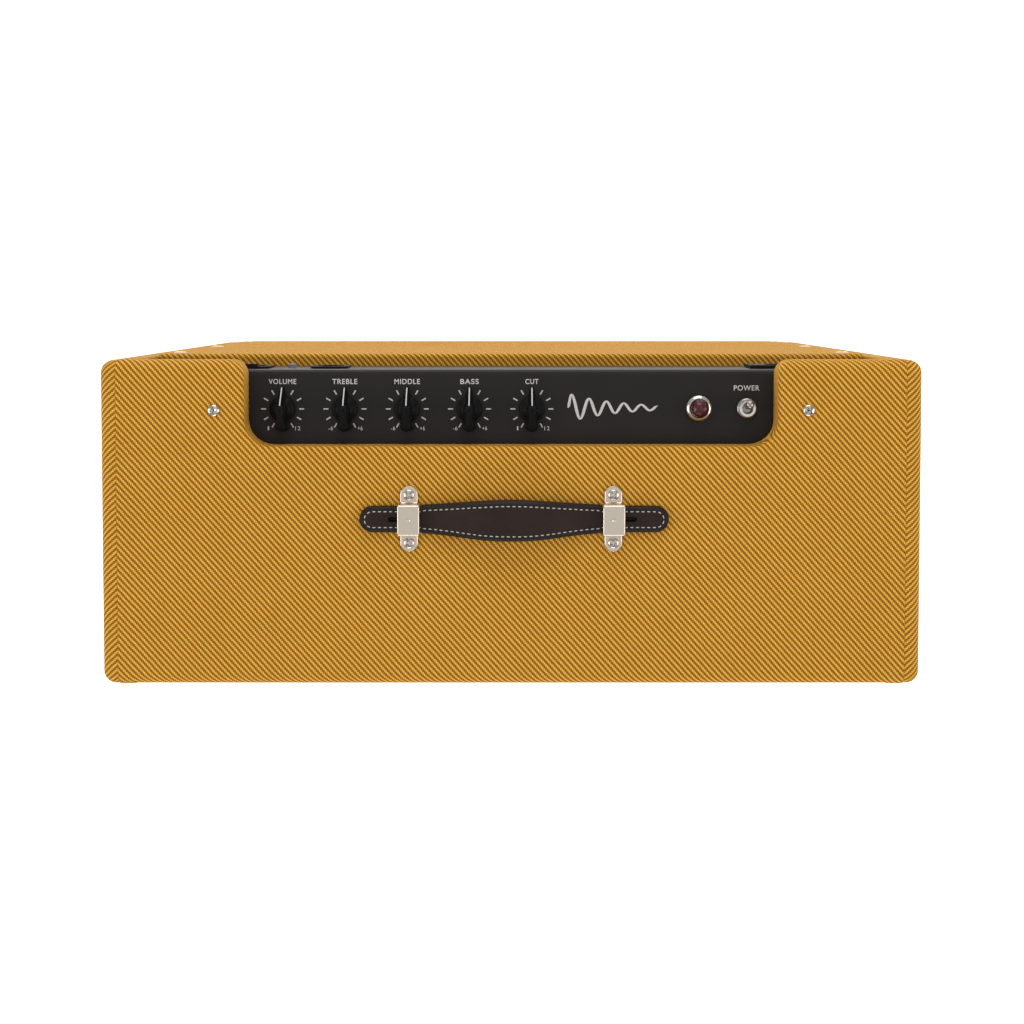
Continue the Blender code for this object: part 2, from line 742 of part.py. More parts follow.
def toggle_switch():
    """The power switch: body with a bored bushing, ring nut, and the lever that tilts in it."""
    top = CHASSIS_TOP_Z
    under = top - SHEET - GAP
    body = boxes(
        "toggle_body",
        [
            (
                (SWITCH_X - 6.5 * MM, CONTROL_Y - 7 * MM, under - 14 * MM),
                (SWITCH_X + 6.5 * MM, CONTROL_Y + 7 * MM, under),
            )
        ],
        "nickel",
    )
    bushing_length = 9 * MM
    bushing = rod(
        "toggle_bushing",
        5 * MM,
        bushing_length,
        (SWITCH_X, CONTROL_Y, under - 2 * MM + bushing_length / 2),
        sides=24,
    )
    bore_low = LEVER_PIVOT_Z - 4 * MM
    bore_high = top + 6 * MM
    bore = rod(
        "toggle_bore",
        3.6 * MM,
        bore_high - bore_low,
        (SWITCH_X, CONTROL_Y, (bore_low + bore_high) / 2),
        sides=20,
    )
    combine(body, bushing, operation="UNION")
    combine(body, bore)
    nut = [
        (6.5 * MM, 2.6 * MM),
        (6.5 * MM, GAP),
        (5 * MM + GAP, GAP),
        (5 * MM + GAP, 3.2 * MM),
        (6.0 * MM, 3.2 * MM),
    ]
    smooth(turned("toggle_nut", nut, "nickel", Matrix.Translation((SWITCH_X, CONTROL_Y, top)), 24))
    lever = [
        (0, 18.5 * MM),
        (1.6 * MM, 18.1 * MM),
        (2.5 * MM, 16.6 * MM),
        (2.6 * MM, 15 * MM),
        (1.5 * MM, 6 * MM),
        (1.5 * MM, 2.5 * MM),
        (2.6 * MM, 1.2 * MM),
        (2.8 * MM, 0),
        (2.0 * MM, -2 * MM),
        (0, -2.6 * MM),
    ]
    spot = Matrix.Translation((SWITCH_X, CONTROL_Y, LEVER_PIVOT_Z)) @ Matrix.Rotation(-LEVER_TILT, 4, "X")
    smooth(turned("toggle_lever", lever, "nickel", spot, 16))


# ---------------------------------------------------------------- connectors
def connectors():
    rear = CHASSIS_REAR_Y
    z = CONNECTOR_Z

    def block(name, middle, half_x, half_z, low, high, finish=None):
        near_corner = (middle - half_x, rear + low, z - half_z)
        far_corner = (middle + half_x, rear + high, z + half_z)
        return boxes(name, [(near_corner, far_corner)], finish)

    inlet = block("mains_inlet", INLET_X, 24 * MM, 14 * MM, GAP, INLET_FLANGE, "black_plastic")
    body = block("inlet_block", INLET_X, 14.2 * MM, 10.2 * MM, -20 * MM, 1 * MM)
    cavity = block("inlet_cavity", INLET_X, 12.5 * MM, 8.3 * MM, -14 * MM, 9 * MM)
    combine(inlet, body, operation="UNION")
    combine(inlet, cavity)

    for name, x, insert in (("input_jack", INPUT_X, True), ("line_out_jack", LINE_OUT_X, False)):
        flange_z = 15 * MM if insert else 13 * MM
        jack = block(name, x, JACK_HALF_X, flange_z, GAP, JACK_FLANGE, "black_plastic")
        radius = math.hypot(JACK_TOP_HALF, flange_z)
        rounding = rod(f"{name}_rounding", radius, 20 * MM, (x, rear, z), axis=(0, 1, 0), sides=48)
        combine(jack, rounding, operation="INTERSECT")
        middle = (x, rear - 12 * MM, z)
        barrel = rod(f"{name}_barrel", 11.2 * MM, 26 * MM, middle, axis=(0, 1, 0), sides=24)
        well = rod(f"{name}_well", 9.6 * MM, 24 * MM, (x, rear, z), axis=(0, 1, 0), sides=24)
        combine(jack, barrel, operation="UNION")
        combine(jack, well)
        if insert:
            middle = (x, rear - 6.5 * MM, z)
            core = rod(f"{name}_core", 7.4 * MM, 14 * MM, middle, axis=(0, 1, 0), sides=16)
            latch_low = (x - 4.4 * MM, rear + 0.5 * MM, z + 10.2 * MM)
            latch_high = (x + 4.4 * MM, rear + 3 * MM, z + 14.2 * MM)
            combine(jack, boxes(f"{name}_latch", [(latch_low, latch_high)]), operation="UNION")
            bore = rod(f"{name}_bore", 3.3 * MM, 44 * MM, (x, rear, z), axis=(0, 1, 0), sides=12)
            combine(jack, core, operation="UNION")
            combine(jack, bore)
    button = rod(
        "ground_lift_button",
        2.6 * MM,
        14 * MM,
        (BUTTON_X, rear + BUTTON_PROUD - 7 * MM, z),
        axis=(0, 1, 0),
        finish="grey_plastic",
        sides=16,
    )
    round_edges(button, 0.4 * MM, 1)


# ---------------------------------------------------------------- speaker
def speaker():
    """A 12 inch driver behind the baffle: frame, motor, cone and surround."""
    axis = speaker_axis()
    wall = 2 * MM
    outer = [
        (153 * MM, -GAP),
        (153 * MM, -5 * MM),
        (145 * MM, -5 * MM),
        (140 * MM, -22 * MM),
        (78 * MM, -78 * MM),
        (60 * MM, -80 * MM),
    ]
    inner = [
        (60 * MM, -80 * MM + wall),
        (77 * MM, -78 * MM + wall),
        (138 * MM, -22 * MM + 0.6 * MM),
        (142 * MM, -8 * MM),
        (142 * MM, -GAP),
    ]
    frame = turned("speaker_frame", outer + inner, "black_paint", axis, 36)
    windows = bmesh.new()
    for i in range(6):
        turn = Matrix.Rotation(math.radians(30 + 60 * i), 4, "Z")
        for vert in add_box(windows, (84 * MM, -27 * MM, -74 * MM), (150 * MM, 27 * MM, -26 * MM)):
            vert.co.y *= vert.co.x / (118 * MM)
            vert.co = turn @ vert.co
    cutter = mesh_object("frame_windows", windows, matrix=axis)
    combine(frame, cutter)

    motor = [
        (70 * MM, -80 * MM - GAP),
        (70 * MM, -88 * MM),
        (74 * MM, -88 * MM),
        (74 * MM, -106 * MM),
        (66 * MM, -106 * MM),
        (66 * MM, -116 * MM),
        (0, -116 * MM),
        (0, -78 * MM),
        (23.6 * MM, -78 * MM),
        (23.6 * MM, -106 * MM),
        (27.4 * MM, -106 * MM),
        (27.4 * MM, -80 * MM - GAP),
    ]
    turned("speaker_motor", from_axis(motor), "black_paint", axis, 24)

    cone = [
        (127 * MM, -3 * MM),
        (127 * MM, -4.6 * MM),
        (60 * MM, -44 * MM),
        (26.4 * MM, -62 * MM),
        (26.4 * MM, -100 * MM),
        (24.6 * MM, -100 * MM),
        (24.6 * MM, -61 * MM),
        (0, -61 * MM),
        (0, -32 * MM),
        (20 * MM, -34.5 * MM),
        (38 * MM, -44 * MM),
        (48 * MM, -49.5 * MM),
        (60 * MM, -42.2 * MM),
        (110 * MM, -11.6 * MM),
    ]
    turned("speaker_cone", from_axis(cone), "paper_cone", axis, 32)

    roll = [(127 * MM + GAP, -1.5 * MM)]
    middle, reach = 134.5 * MM, 6.4 * MM
    roll += [(middle + reach * math.cos(a), -1.5 * MM + reach * math.sin(a)) for a in half_turn(5, True)]
    roll += [(141.4 * MM, -1.5 * MM), (141.4 * MM, -3 * MM)]
    thin = reach - 1 * MM
    roll += [(middle + thin * math.cos(a), -3 * MM + thin * math.sin(a)) for a in half_turn(5, False)]
    roll += [(127 * MM + GAP, -3 * MM)]
    turned("speaker_surround", roll, "rubber", axis, 32)


def half_turn(steps, forwards):
    """Angles over half a turn, from the axis side outwards or back."""
    spread = [math.pi * i / steps for i in range(steps + 1)]
    return reversed(spread) if forwards else spread


def from_axis(profile):
    """The same outline, begun and ended on the axis, so that turning it closes it."""
    start = next(i for i, (radius, _) in enumerate(profile) if radius == 0)
    return profile[start + 1:] + profile[:start + 1]


def speaker_lead():
    """The two-core lead from the chassis cover down to the driver's terminals."""
    route = [
        Vector((LEAD_X, LEAD_Y, CHASSIS_BASE_Z + 2 * MM)),
        Vector((LEAD_X, LEAD_Y, CHASSIS_BASE_Z - 20 * MM)),
        Vector((LEAD_X + 6 * MM, LEAD_Y + 8 * MM, CHASSIS_BASE_Z - 60 * MM)),
        Vector((LEAD_X + 22 * MM, LEAD_Y + 6 * MM, SPEAKER_Z + 20 * MM)),
        Vector((LEAD_X + 34 * MM, LEAD_Y - 26 * MM, SPEAKER_Z - 8 * MM)),
        Vector((LEAD_X + 42 * MM, LEAD_Y - 72 * MM, SPEAKER_Z + 2 * MM)),
    ]
    points = spline_through(route, 7)
    curve = bpy.data.curves.new("speaker_lead", "CURVE")
    curve.dimensions = "3D"
    curve.bevel_depth = 2.5 * MM
    curve.bevel_resolution = 2
    curve.use_fill_caps = True
    line = curve.splines.new("POLY")
    line.points.add(len(points) - 1)
    for point, spot in zip(line.points, points):
        point.co = (*spot, 1)
    place(bpy.data.objects.new("speaker_lead", curve), "black_plastic")


def spline_through(route, steps):
    """A smooth curve through the route's own points."""
    padded = [2 * route[0] - route[1]] + route + [2 * route[-1] - route[-2]]
    made = []
    for a, b, c, d in zip(padded, padded[1:], padded[2:], padded[3:]):
        for i in range(steps):
            t = i / steps
            made.append(
                0.5 * ((2 * b) + (c - a) * t + (2 * a - 5 * b + 4 * c - d) * t * t
                       + (3 * b - a - 3 * c + d) * t ** 3)
            )
    return made + [route[-1]]


# ---------------------------------------------------------------- handle
def strap_piece(name, stations, finish):
    """A strap length made of cross sections: (x, half width, low z, high z), lofted along x."""
    work = bmesh.new()
    rings = []
    for x, half, low, high in stations:
        middle, rise = (low + high) / 2, (high - low) / 2
        soft = min(half, rise) * 0.55
        ring = [
            (-half, middle),
            (-half + soft, high),
            (half - soft, high),
            (half, middle),
            (half - soft, low),
            (-half + soft, low),
        ]
        rings.append([work.verts.new((x, HANDLE_Y + y, z)) for y, z in ring])
    for near, far in zip(rings, rings[1:]):
        for i in range(6):
            j = (i + 1) % 6
            work.faces.new((near[i], near[j], far[j], far[i]))
    work.faces.new(rings[0])
    work.faces.new(list(reversed(rings[-1])))
    return mesh_object(name, work, finish)


def strap_half_width(x):
    """The strap is narrow at its ends and swells smoothly to the grip."""
    if abs(x) > TAB_PIVOT_X:
        return TAB_HALF_WIDTH
    swell = 0.5 + 0.5 * math.cos(math.pi * x / TAB_PIVOT_X)
    return TAB_HALF_WIDTH + (GRIP_HALF_WIDTH - TAB_HALF_WIDTH) * swell


def handle():
    """The strap as five pieces that hinge, its two nickel caps and their screws."""
    tab_low, tab_high = TAB_PIVOT_Z - TAB_THICKNESS / 2, TAB_PIVOT_Z + TAB_THICKNESS / 2
    grip_reach = GRIP_PIVOT_X - LINK_GRIP_RADIUS - GAP
    stations = []
    for i in range(7):
        x = -grip_reach + 2 * grip_reach * i / 6
        rise = GRIP_THICKNESS / 2 - 0.8 * MM * (x / grip_reach) ** 2
        stations.append((x, strap_half_width(x), GRIP_PIVOT_Z - rise, GRIP_PIVOT_Z + rise))
    strap_piece("strap_grip", stations, "strap_leather")
    for side, hand in ((-1, "left"), (1, "right")):
        stations = []
        for sweep in (90, 45, 0):
            a = math.radians(sweep)
            x = GRIP_PIVOT_X - LINK_GRIP_RADIUS * math.sin(a)
            rise = max(LINK_GRIP_RADIUS * math.cos(a), 0.6 * MM)
            stations.append((side * x, strap_half_width(x), GRIP_PIVOT_Z - rise, GRIP_PIVOT_Z + rise))
        for sweep in (0, 45, 90):
            a = math.radians(sweep)
            x = TAB_PIVOT_X + LINK_END_RADIUS * math.sin(a)
            rise = max(LINK_END_RADIUS * math.cos(a), 0.6 * MM)
            stations.append((side * x, TAB_HALF_WIDTH, TAB_PIVOT_Z - rise, TAB_PIVOT_Z + rise))
        strap_piece(f"strap_link_{hand}", stations, "strap_leather")
        stations = []
        start = TAB_PIVOT_X + LINK_END_RADIUS + GAP
        nose = TAB_HALF_WIDTH
        stations.append((side * start, TAB_HALF_WIDTH, tab_low, tab_high))
        for sweep in (0, 30, 60, 80):
            a = math.radians(sweep)
            x = STRAP_END_X - nose + nose * math.sin(a)
            stations.append((side * x, nose * math.cos(a), tab_low, tab_high))
        tab = strap_piece(f"strap_tab_{hand}", stations, "strap_leather")
        near, far = sorted((side * (CAP_X - 3 * MM), side * (CAP_X + 12.6 * MM)))
        near_corner = (near, HANDLE_Y - SLOT_HALF, tab_low - OVERCUT)
        far_corner = (far, HANDLE_Y + SLOT_HALF, tab_high + OVERCUT)
        slot = boxes(f"strap_slot_{hand}", [(near_corner, far_corner)])
        combine(tab, slot)
        handle_cap(side, hand)
    seat = CAP_SHEET + 2 * GAP
    profile = [
        (0, 3.9 * MM),
        (2 * MM, 3.5 * MM),
        (3.5 * MM, seat),
        (1.9 * MM, seat),
        (1.9 * MM, -11 * MM),
        (0, -14 * MM),
    ]
    for index, (x, y) in enumerate(cap_screw_spots()):
        spot = Matrix.Translation((x, y, TOP_Z))
        smooth(turned(f"handle_screw_{index + 1}", profile, "nickel", spot, 14))


def handle_cap(side, hand):
    """A stamped bridge over the strap: two round ears, two walls and a roof with a peg in the slot."""
    x = side * CAP_X
    base = TOP_Z + GAP
    outline = arc((0, CAP_SCREW_Y), CAP_EAR_HALF_X, 0, 180, 8)
    outline += arc((0, -CAP_SCREW_Y), CAP_EAR_HALF_X, 180, 360, 8)
    ears = plate(
        f"handle_cap_{hand}",
        outline,
        CAP_SHEET,
        Matrix.Translation((x, HANDLE_Y, base + CAP_SHEET / 2)),
        "nickel",
    )
    near_corner = (x - CAP_ROOF_HALF_X, HANDLE_Y - CAP_ROOF_HALF_Y, base)
    far_corner = (x + CAP_ROOF_HALF_X, HANDLE_Y + CAP_ROOF_HALF_Y, base + CAP_HEIGHT)
    bridge = boxes(f"cap_bridge_{hand}", [(near_corner, far_corner)])
    round_edges(bridge, 1 * MM, 2)
    inner, roof = CAP_ROOF_HALF_Y - CAP_SHEET, base + CAP_HEIGHT - CAP_SHEET
    near_corner = (x - CAP_ROOF_HALF_X - OVERCUT, HANDLE_Y - inner, base - OVERCUT)
    far_corner = (x + CAP_ROOF_HALF_X + OVERCUT, HANDLE_Y + inner, roof)
    tunnel = boxes(f"cap_tunnel_{hand}", [(near_corner, far_corner)])
    peg = rod(
        f"cap_peg_{hand}", 1.1 * MM, 6 * MM, (x, HANDLE_Y, base + CAP_HEIGHT - 4 * MM), sides=10
    )
    holes = rods(
        f"cap_holes_{hand}",
        2.2 * MM,
        10 * MM,
        [(x, HANDLE_Y + end * CAP_SCREW_Y, base) for end in (-1, 1)],
        sides=12,
    )
    combine(ears, bridge, operation="UNION")
    combine(ears, tunnel)
    combine(ears, peg, operation="UNION")
    combine(ears, holes)


def build():
    boards = cabinet_boards()
    cut_top_board(boards["top"])
    feet()
    front_boards()
    back_boards()
    chassis()
    electronics()
    knobs()
    lamp()
    toggle_switch()
    connectors()
    speaker()
    speaker_lead()
    handle()


build()
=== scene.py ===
"""The looks of a tweed-covered combo amplifier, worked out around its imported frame.

Every size that the frame already holds is read from it, so the covering, the handle, the controls and
their lettering sit where the boards, shafts and screws are. Metres, +Z up, the grille faces -Y.
"""

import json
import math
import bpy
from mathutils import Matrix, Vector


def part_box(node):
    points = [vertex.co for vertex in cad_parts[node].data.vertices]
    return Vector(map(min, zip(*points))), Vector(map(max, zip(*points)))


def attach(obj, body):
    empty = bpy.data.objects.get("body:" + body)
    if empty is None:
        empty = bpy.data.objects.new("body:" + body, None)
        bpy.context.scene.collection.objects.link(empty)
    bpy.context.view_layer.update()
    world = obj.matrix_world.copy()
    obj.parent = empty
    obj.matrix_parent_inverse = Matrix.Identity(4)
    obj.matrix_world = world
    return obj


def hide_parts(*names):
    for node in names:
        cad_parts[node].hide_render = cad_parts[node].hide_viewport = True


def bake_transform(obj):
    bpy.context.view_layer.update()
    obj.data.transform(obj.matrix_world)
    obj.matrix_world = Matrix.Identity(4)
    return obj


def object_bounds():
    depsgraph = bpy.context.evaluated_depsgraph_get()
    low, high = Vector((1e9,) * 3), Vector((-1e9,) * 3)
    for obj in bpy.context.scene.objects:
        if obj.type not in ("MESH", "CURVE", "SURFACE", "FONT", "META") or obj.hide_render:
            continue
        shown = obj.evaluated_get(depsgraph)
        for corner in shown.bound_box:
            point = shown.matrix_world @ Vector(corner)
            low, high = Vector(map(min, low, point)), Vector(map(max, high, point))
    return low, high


bl_info = {
    "name": "Tweed Combo Amplifier",
    "version": (1, 0, 0),
    "blender": (4, 5, 0),
    "location": "3D View > Sidebar > Amplifier",
    "description": "Tweed covering, control panel, leather handle and fittings of a combo amplifier",
    "category": "Object",
}

import bmesh
import bpy
import numpy as np
from mathutils import Matrix, Vector

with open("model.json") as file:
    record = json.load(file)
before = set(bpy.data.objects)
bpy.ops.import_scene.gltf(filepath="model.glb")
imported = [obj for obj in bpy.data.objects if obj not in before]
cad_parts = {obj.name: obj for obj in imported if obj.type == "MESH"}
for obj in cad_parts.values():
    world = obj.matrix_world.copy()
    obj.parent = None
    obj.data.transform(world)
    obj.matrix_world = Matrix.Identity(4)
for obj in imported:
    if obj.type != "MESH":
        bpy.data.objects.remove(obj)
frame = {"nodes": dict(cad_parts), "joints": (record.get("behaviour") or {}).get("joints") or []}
CAD_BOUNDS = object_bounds()
MM = 0.001
QUARTER = math.pi / 2

# ---------------------------------------------------------------- places read from the frame
TOP_LOW, TOP_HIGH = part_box("cab_top_board")
BACK_LOW, BACK_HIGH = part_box("back_panel")
CHASSIS_LOW, CHASSIS_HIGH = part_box("chassis")
GRIP_LOW, GRIP_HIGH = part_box("strap_grip")
TAB_LOW, TAB_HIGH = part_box("strap_tab_left")
WALL = TOP_HIGH.z - TOP_LOW.z
TOP_Z = TOP_HIGH.z
BASE_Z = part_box("cab_side_left")[0].z
HALF = TOP_HIGH.x
REAR_Y = TOP_HIGH.y
PANEL_Z = CHASSIS_HIGH.z
STRAP_Y = (GRIP_LOW.y + GRIP_HIGH.y) / 2
JOINTS = {joint["name"]: joint for joint in frame["joints"]}
KNOBS = ("volume", "treble", "middle", "bass", "cut")
HANDS = ((-1, "left"), (1, "right"))
INK = 0.05 * MM
INK_DEPTH = 0.04 * MM


def middle(node):
    """The centre of a frame node's box."""
    low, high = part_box(node)
    return (low + high) / 2


def width_of(node):
    """How wide a frame node is along X."""
    low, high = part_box(node)
    return high.x - low.x


# ---------------------------------------------------------------- settings
def length(name, description, default):
    """A size that a user may change, in metres."""
    return bpy.props.FloatProperty(
        name=name, description=description, default=default, min=0, unit="LENGTH", precision=4
    )


def colour(name, description, default):
    """A colour that a user may change."""
    return bpy.props.FloatVectorProperty(
        name=name, description=description, default=default, size=3, subtype="COLOR", min=0, max=1
    )


class CabinetSettings(bpy.types.PropertyGroup):
    """Sizes of the covered cabinet."""

    top_depth: length("Top depth", "Front to back at the top", 200 * MM)
    edge_radius: length("Edge radius", "Rounding of the outer edges", 8 * MM)
    inner_radius: length("Inner radius", "Rounding of the front edges towards the grille", 3 * MM)
    recess_front: length("Recess front", "From the centre back to the recess's front wall", 64 * MM)
    recess_half: length("Recess half width", "Half the width of the control recess", 163.5 * MM)
    recess_corner: length("Recess corner", "Plan radius of the recess's front corners", 15.5 * MM)
    recess_flare: length("Recess flare", "Plan radius where the recess meets the back", 9 * MM)
    recess_edge: length("Recess edge", "Rounding of the cloth over the recess's edge", 2.6 * MM)
    seam_inset: length("Seam inset", "From the side of the cabinet to the seam on top", 10.5 * MM)
    seam_lap: length("Seam lap", "Width of the doubled cloth beside a seam", 9 * MM)
    lap_height: length("Lap height", "How far doubled cloth stands up", 0.45 * MM)


class TweedSettings(bpy.types.PropertyGroup):
    """The diagonal twill that covers the boards."""

    thread: length("Thread pitch", "Across the floats, one thread", 0.912 * MM)
    pick: length("Pick pitch", "Along the floats, one thread", 1.015 * MM)
    light: colour("Light yarn", "Lacquered yellow yarn", (0.87, 0.485, 0.076))
    dark: colour("Dark yarn", "Brown yarn between the floats", (0.170, 0.043, 0.0))


class LeatherSettings(bpy.types.PropertyGroup):
    """The strap's leather and thread."""

    face: colour("Leather", "Middle of the strap", (0.0195, 0.0098, 0.0076))
    edge: colour("Edge", "Painted edge of the strap", (0.0135, 0.0108, 0.0096))
    thread: colour("Thread", "Stitching", (0.50, 0.47, 0.42))


class StrapSettings(bpy.types.PropertyGroup):
    """Sizes of the strap handle."""

    end_half: length("End half width", "Half the width of the ends", 8.15 * MM)
    grip_half: length("Grip half width", "Half the width at the middle", 12.5 * MM)
    reach: length("Reach", "From the middle to the rounded end on the left", 92.9 * MM)
    overhang: length("Overhang", "How much further the right end reaches", 3.6 * MM)
    arch: length("Arch", "How far the middle bows up between the caps", 5 * MM)
    edge: length("Edge rounding", "Radius of the rolled edge", 2.2 * MM)
    stitch_inset: length("Stitch inset", "From the edge to the stitching", 3.3 * MM)
    stitch_pitch: length("Stitch pitch", "From one stitch to the next", 3.4 * MM)
    stitch_length: length("Stitch length", "Visible length of one stitch", 2.2 * MM)


class StageSettings(bpy.types.PropertyGroup):
    """Camera and light."""

    height: length("Camera height", "Above the top of the cabinet", 985 * MM)
    lens: bpy.props.FloatProperty(name="Lens", description="Focal length", default=56.75, unit="CAMERA")
    shift: bpy.props.FloatProperty(name="Shift", description="Vertical lens shift", default=-0.135)
    sky: bpy.props.FloatProperty(name="Sky", description="Strength of the surroundings", default=0.42)


# ---------------------------------------------------------------- finishes
class Signal:
    """A shader socket that takes part in arithmetic. Each expression adds its Math node."""

    def __init__(self, finish, socket):
        self.finish = finish
        self.socket = socket

    def math(self, operation, *others):
        return self.finish.node("ShaderNodeMath", {"operation": operation}, self, *others)

    def __add__(self, other):
        return self.math("ADD", other)

    def __sub__(self, other):
        return self.math("SUBTRACT", other)

    def __rsub__(self, other):
        return self.finish.node("ShaderNodeMath", {"operation": "SUBTRACT"}, other, self)

    def __mul__(self, other):
        return self.math("MULTIPLY", other)

    def __truediv__(self, other):
        return self.math("DIVIDE", other)

    def __lt__(self, other):
        return self.math("LESS_THAN", other)

    def __abs__(self):
        return self.math("ABSOLUTE")

    def __mod__(self, other):
        return self.math("FLOORED_MODULO", other)

    __radd__ = __add__
    __rmul__ = __mul__

    def floor(self):
        return self.math("FLOOR")

    def fract(self):
        return self.math("FRACT")

    def between(self, low, high):
        """0 below low, 1 above high, and a smooth rise between them."""
        settings = {"interpolation_type": "SMOOTHSTEP"}
        return self.finish.node("ShaderNodeMapRange", settings, self, low, high)

    def axis(self, index):
        return self.finish.node("ShaderNodeSeparateXYZ", {}, self, output=index)


class Finish:
    """A material made of one Principled shader and the nodes in front of it."""

    def __init__(self, name, **values):
        self.material = bpy.data.materials.new(name)
        self.material.use_nodes = True
        self.tree = self.material.node_tree
        self.shader = self.tree.nodes["Principled BSDF"]
        for key, value in values.items():
            self.set(self.key(key), value)

    def set(self, socket, value):
        """Gives the Principled shader a number, a colour or a link."""
        self.fill(self.shader.inputs[socket], value)
        return self

    def key(self, name):
        """The Principled socket that a keyword stands for."""
        return name.replace("_", " ").title().replace("Ior", "IOR")

    def fill(self, socket, value):
        """Puts a link, a colour or a number into one socket."""
        if isinstance(value, Signal):
            self.tree.links.new(value.socket, socket)
        elif socket.type == "RGBA" and len(value) == 3:
            socket.default_value = (*value, 1)
        else:
            socket.default_value = value

    def node(self, kind, settings, *values, output=0, **named):
        """Any node: its settings first, then its sockets by place or by name."""
        made = self.tree.nodes.new(kind)
        for key, value in settings.items():
            setattr(made, key, value)
        for socket, value in zip(made.inputs, values):
            self.fill(socket, value)
        for key, value in named.items():
            self.fill(made.inputs[key], value)
        return Signal(self, made.outputs[output])

    def place(self):
        """Object coordinates, in metres."""
        return self.node("ShaderNodeTexCoord", {}, output="Object")

    def uv(self):
        """The piece's own unrolled surface, in metres."""
        return self.node("ShaderNodeUVMap", {"uv_map": "surface"})

    def noise(self, vector, scale, detail=3.0, roughness=0.5):
        named = {"Scale": scale, "Detail": detail, "Roughness": roughness, "Vector": vector}
        return self.node("ShaderNodeTexNoise", {}, **named)

    def mix(self, factor, first, second, blend="MIX"):
        """A colour between two, or one laid over the other."""
        made = self.tree.nodes.new("ShaderNodeMix")
        made.data_type = "RGBA"
        made.blend_type = blend
        for number, value in ((0, factor), (6, first), (7, second)):
            self.fill(made.inputs[number], value)
        return Signal(self, made.outputs[2])

    def vector(self, x, y, z=0.0):
        return self.node("ShaderNodeCombineXYZ", {}, x, y, z)

    def bump(self, height, distance, strength=1.0):
        """Relief on the whole surface; distance is the height of a signal of 1, in metres."""
        named = {"Height": height, "Distance": distance, "Strength": strength}
        self.set("Normal", self.node("ShaderNodeBump", {}, **named))
        return self


def tweed_finish():
    """A two-over-two twill: light warp floats step down to the right between brown weft floats.

    Threads are numbered across and along. The warp is on top where the sum of the two numbers, modulo 4,
    is below 2. Each float is round across its thread and dips at both ends of its length of two threads.
    """
    look = bpy.context.scene.amplifier_tweed
    finish = Finish("tweed_cloth", specular_ior_level=0.04, sheen_weight=0.12, sheen_roughness=0.4)
    finish.set("Sheen Tint", (1.0, 0.66, 0.24))
    surface = finish.uv()
    wander = finish.noise(surface, 160, 2) - 0.5
    across = surface.axis(0) / look.thread + wander * 0.3
    along = surface.axis(1) / look.pick + wander * 0.3
    column, row = across.floor(), along.floor()
    over = ((column + row) % 4) < 1.5
    warp_end = ((column + along) % 4) - 1
    weft_end = ((across + row) % 4) - 3
    warp_side = (across.fract() - 0.5) * 2
    weft_side = (along.fract() - 0.5) * 2
    warp = (1 - warp_side * warp_side * 0.75) * (1 - warp_end * warp_end * 0.6)
    weft = (1 - weft_side * weft_side * 0.75) * (1 - weft_end * weft_end * 0.6)
    height = over * warp + (1 - over) * weft * 0.72
    # Yarn colour of the float on top, with painted shade: each float darkens towards its sides and its ends,
    # following its rounded height.
    yarn_and_shade = over * (0.58 + warp * 0.42) + (1 - over) * weft * 0.24
    tone = finish.mix(yarn_and_shade, look.dark, look.light)
    columns = finish.node("ShaderNodeTexWhiteNoise", {"noise_dimensions": "1D"}, W=column)
    rows = finish.node("ShaderNodeTexWhiteNoise", {"noise_dimensions": "1D"}, W=row + 0.37)
    yarn = over * columns + (1 - over) * rows
    fleck = finish.noise(surface, 330, 2)
    patches = finish.noise(surface, 26, 3)
    dyed = finish.mix(yarn * 0.22, tone, (0.84, 0.76, 0.66), "MULTIPLY")
    orange = finish.mix(fleck.between(0.54, 0.72) * 0.6, dyed, (1.0, 0.80, 0.74), "MULTIPLY")
    olive = finish.mix(fleck.between(0.46, 0.3) * 0.6, orange, (0.92, 0.97, 0.66), "MULTIPLY")
    aged = finish.mix(patches.between(0.38, 0.68) * 0.22, olive, (0.88, 0.83, 0.72), "MULTIPLY")
    finish.set("Base Color", aged)
    finish.set("Roughness", 0.78 - yarn_and_shade * 0.22)
    finish.bump(height, 0.32 * MM, 0.8)
    return finish.material


def grille_finish():
    """Open basket weave in oxblood with a fine gold stripe, and painted shade at the sides and ends of each
    thread.
    """
    finish = Finish("grille_weave", roughness=0.85, specular_ior_level=0.2)
    surface = finish.uv()
    pitch = 1.6 * MM
    across, along = surface.axis(0) / pitch, surface.axis(1) / pitch
    column, row = across.floor(), along.floor()
    over = ((column + row) % 2) < 0.5
    side = abs(across.fract() - 0.5) * 2
    end = abs(along.fract() - 0.5) * 2
    thread = over * (1 - side * side) + (1 - over) * (1 - end * end)
    gold = ((column % 10) < 0.5) * over
    tuft = finish.node("ShaderNodeTexWhiteNoise", {"noise_dimensions": "2D"}, finish.vector(column, row))
    ground = finish.mix(tuft, (0.030, 0.008, 0.006), (0.085, 0.024, 0.016))
    shade = finish.mix(gold * 0.8, ground, (0.40, 0.25, 0.09))
    # Painted shade: towards the sides and ends of each thread the colour falls to near black, for the shaded
    # gaps of the open weave.
    dark = finish.mix(thread.between(0.0, 0.5), (0.006, 0.004, 0.003), shade)
    finish.set("Base Color", dark)
    finish.bump(thread, 0.5 * MM, 0.8)
    return finish.material


def satin_black_finish():
    """Powder-coated steel: a fine orange-peel skin."""
    finish = Finish("satin_black_enamel", specular_ior_level=0.2)
    grain = finish.noise(finish.place(), 2600, 2)
    cloud = finish.noise(finish.place(), 45, 2)
    finish.set("Base Color", finish.mix(cloud, (0.0115, 0.0100, 0.0088), (0.0150, 0.0132, 0.0118)))
    finish.set("Roughness", 0.40 + grain * 0.14)
    finish.bump(grain, 0.02 * MM, 0.5)
    return finish.material


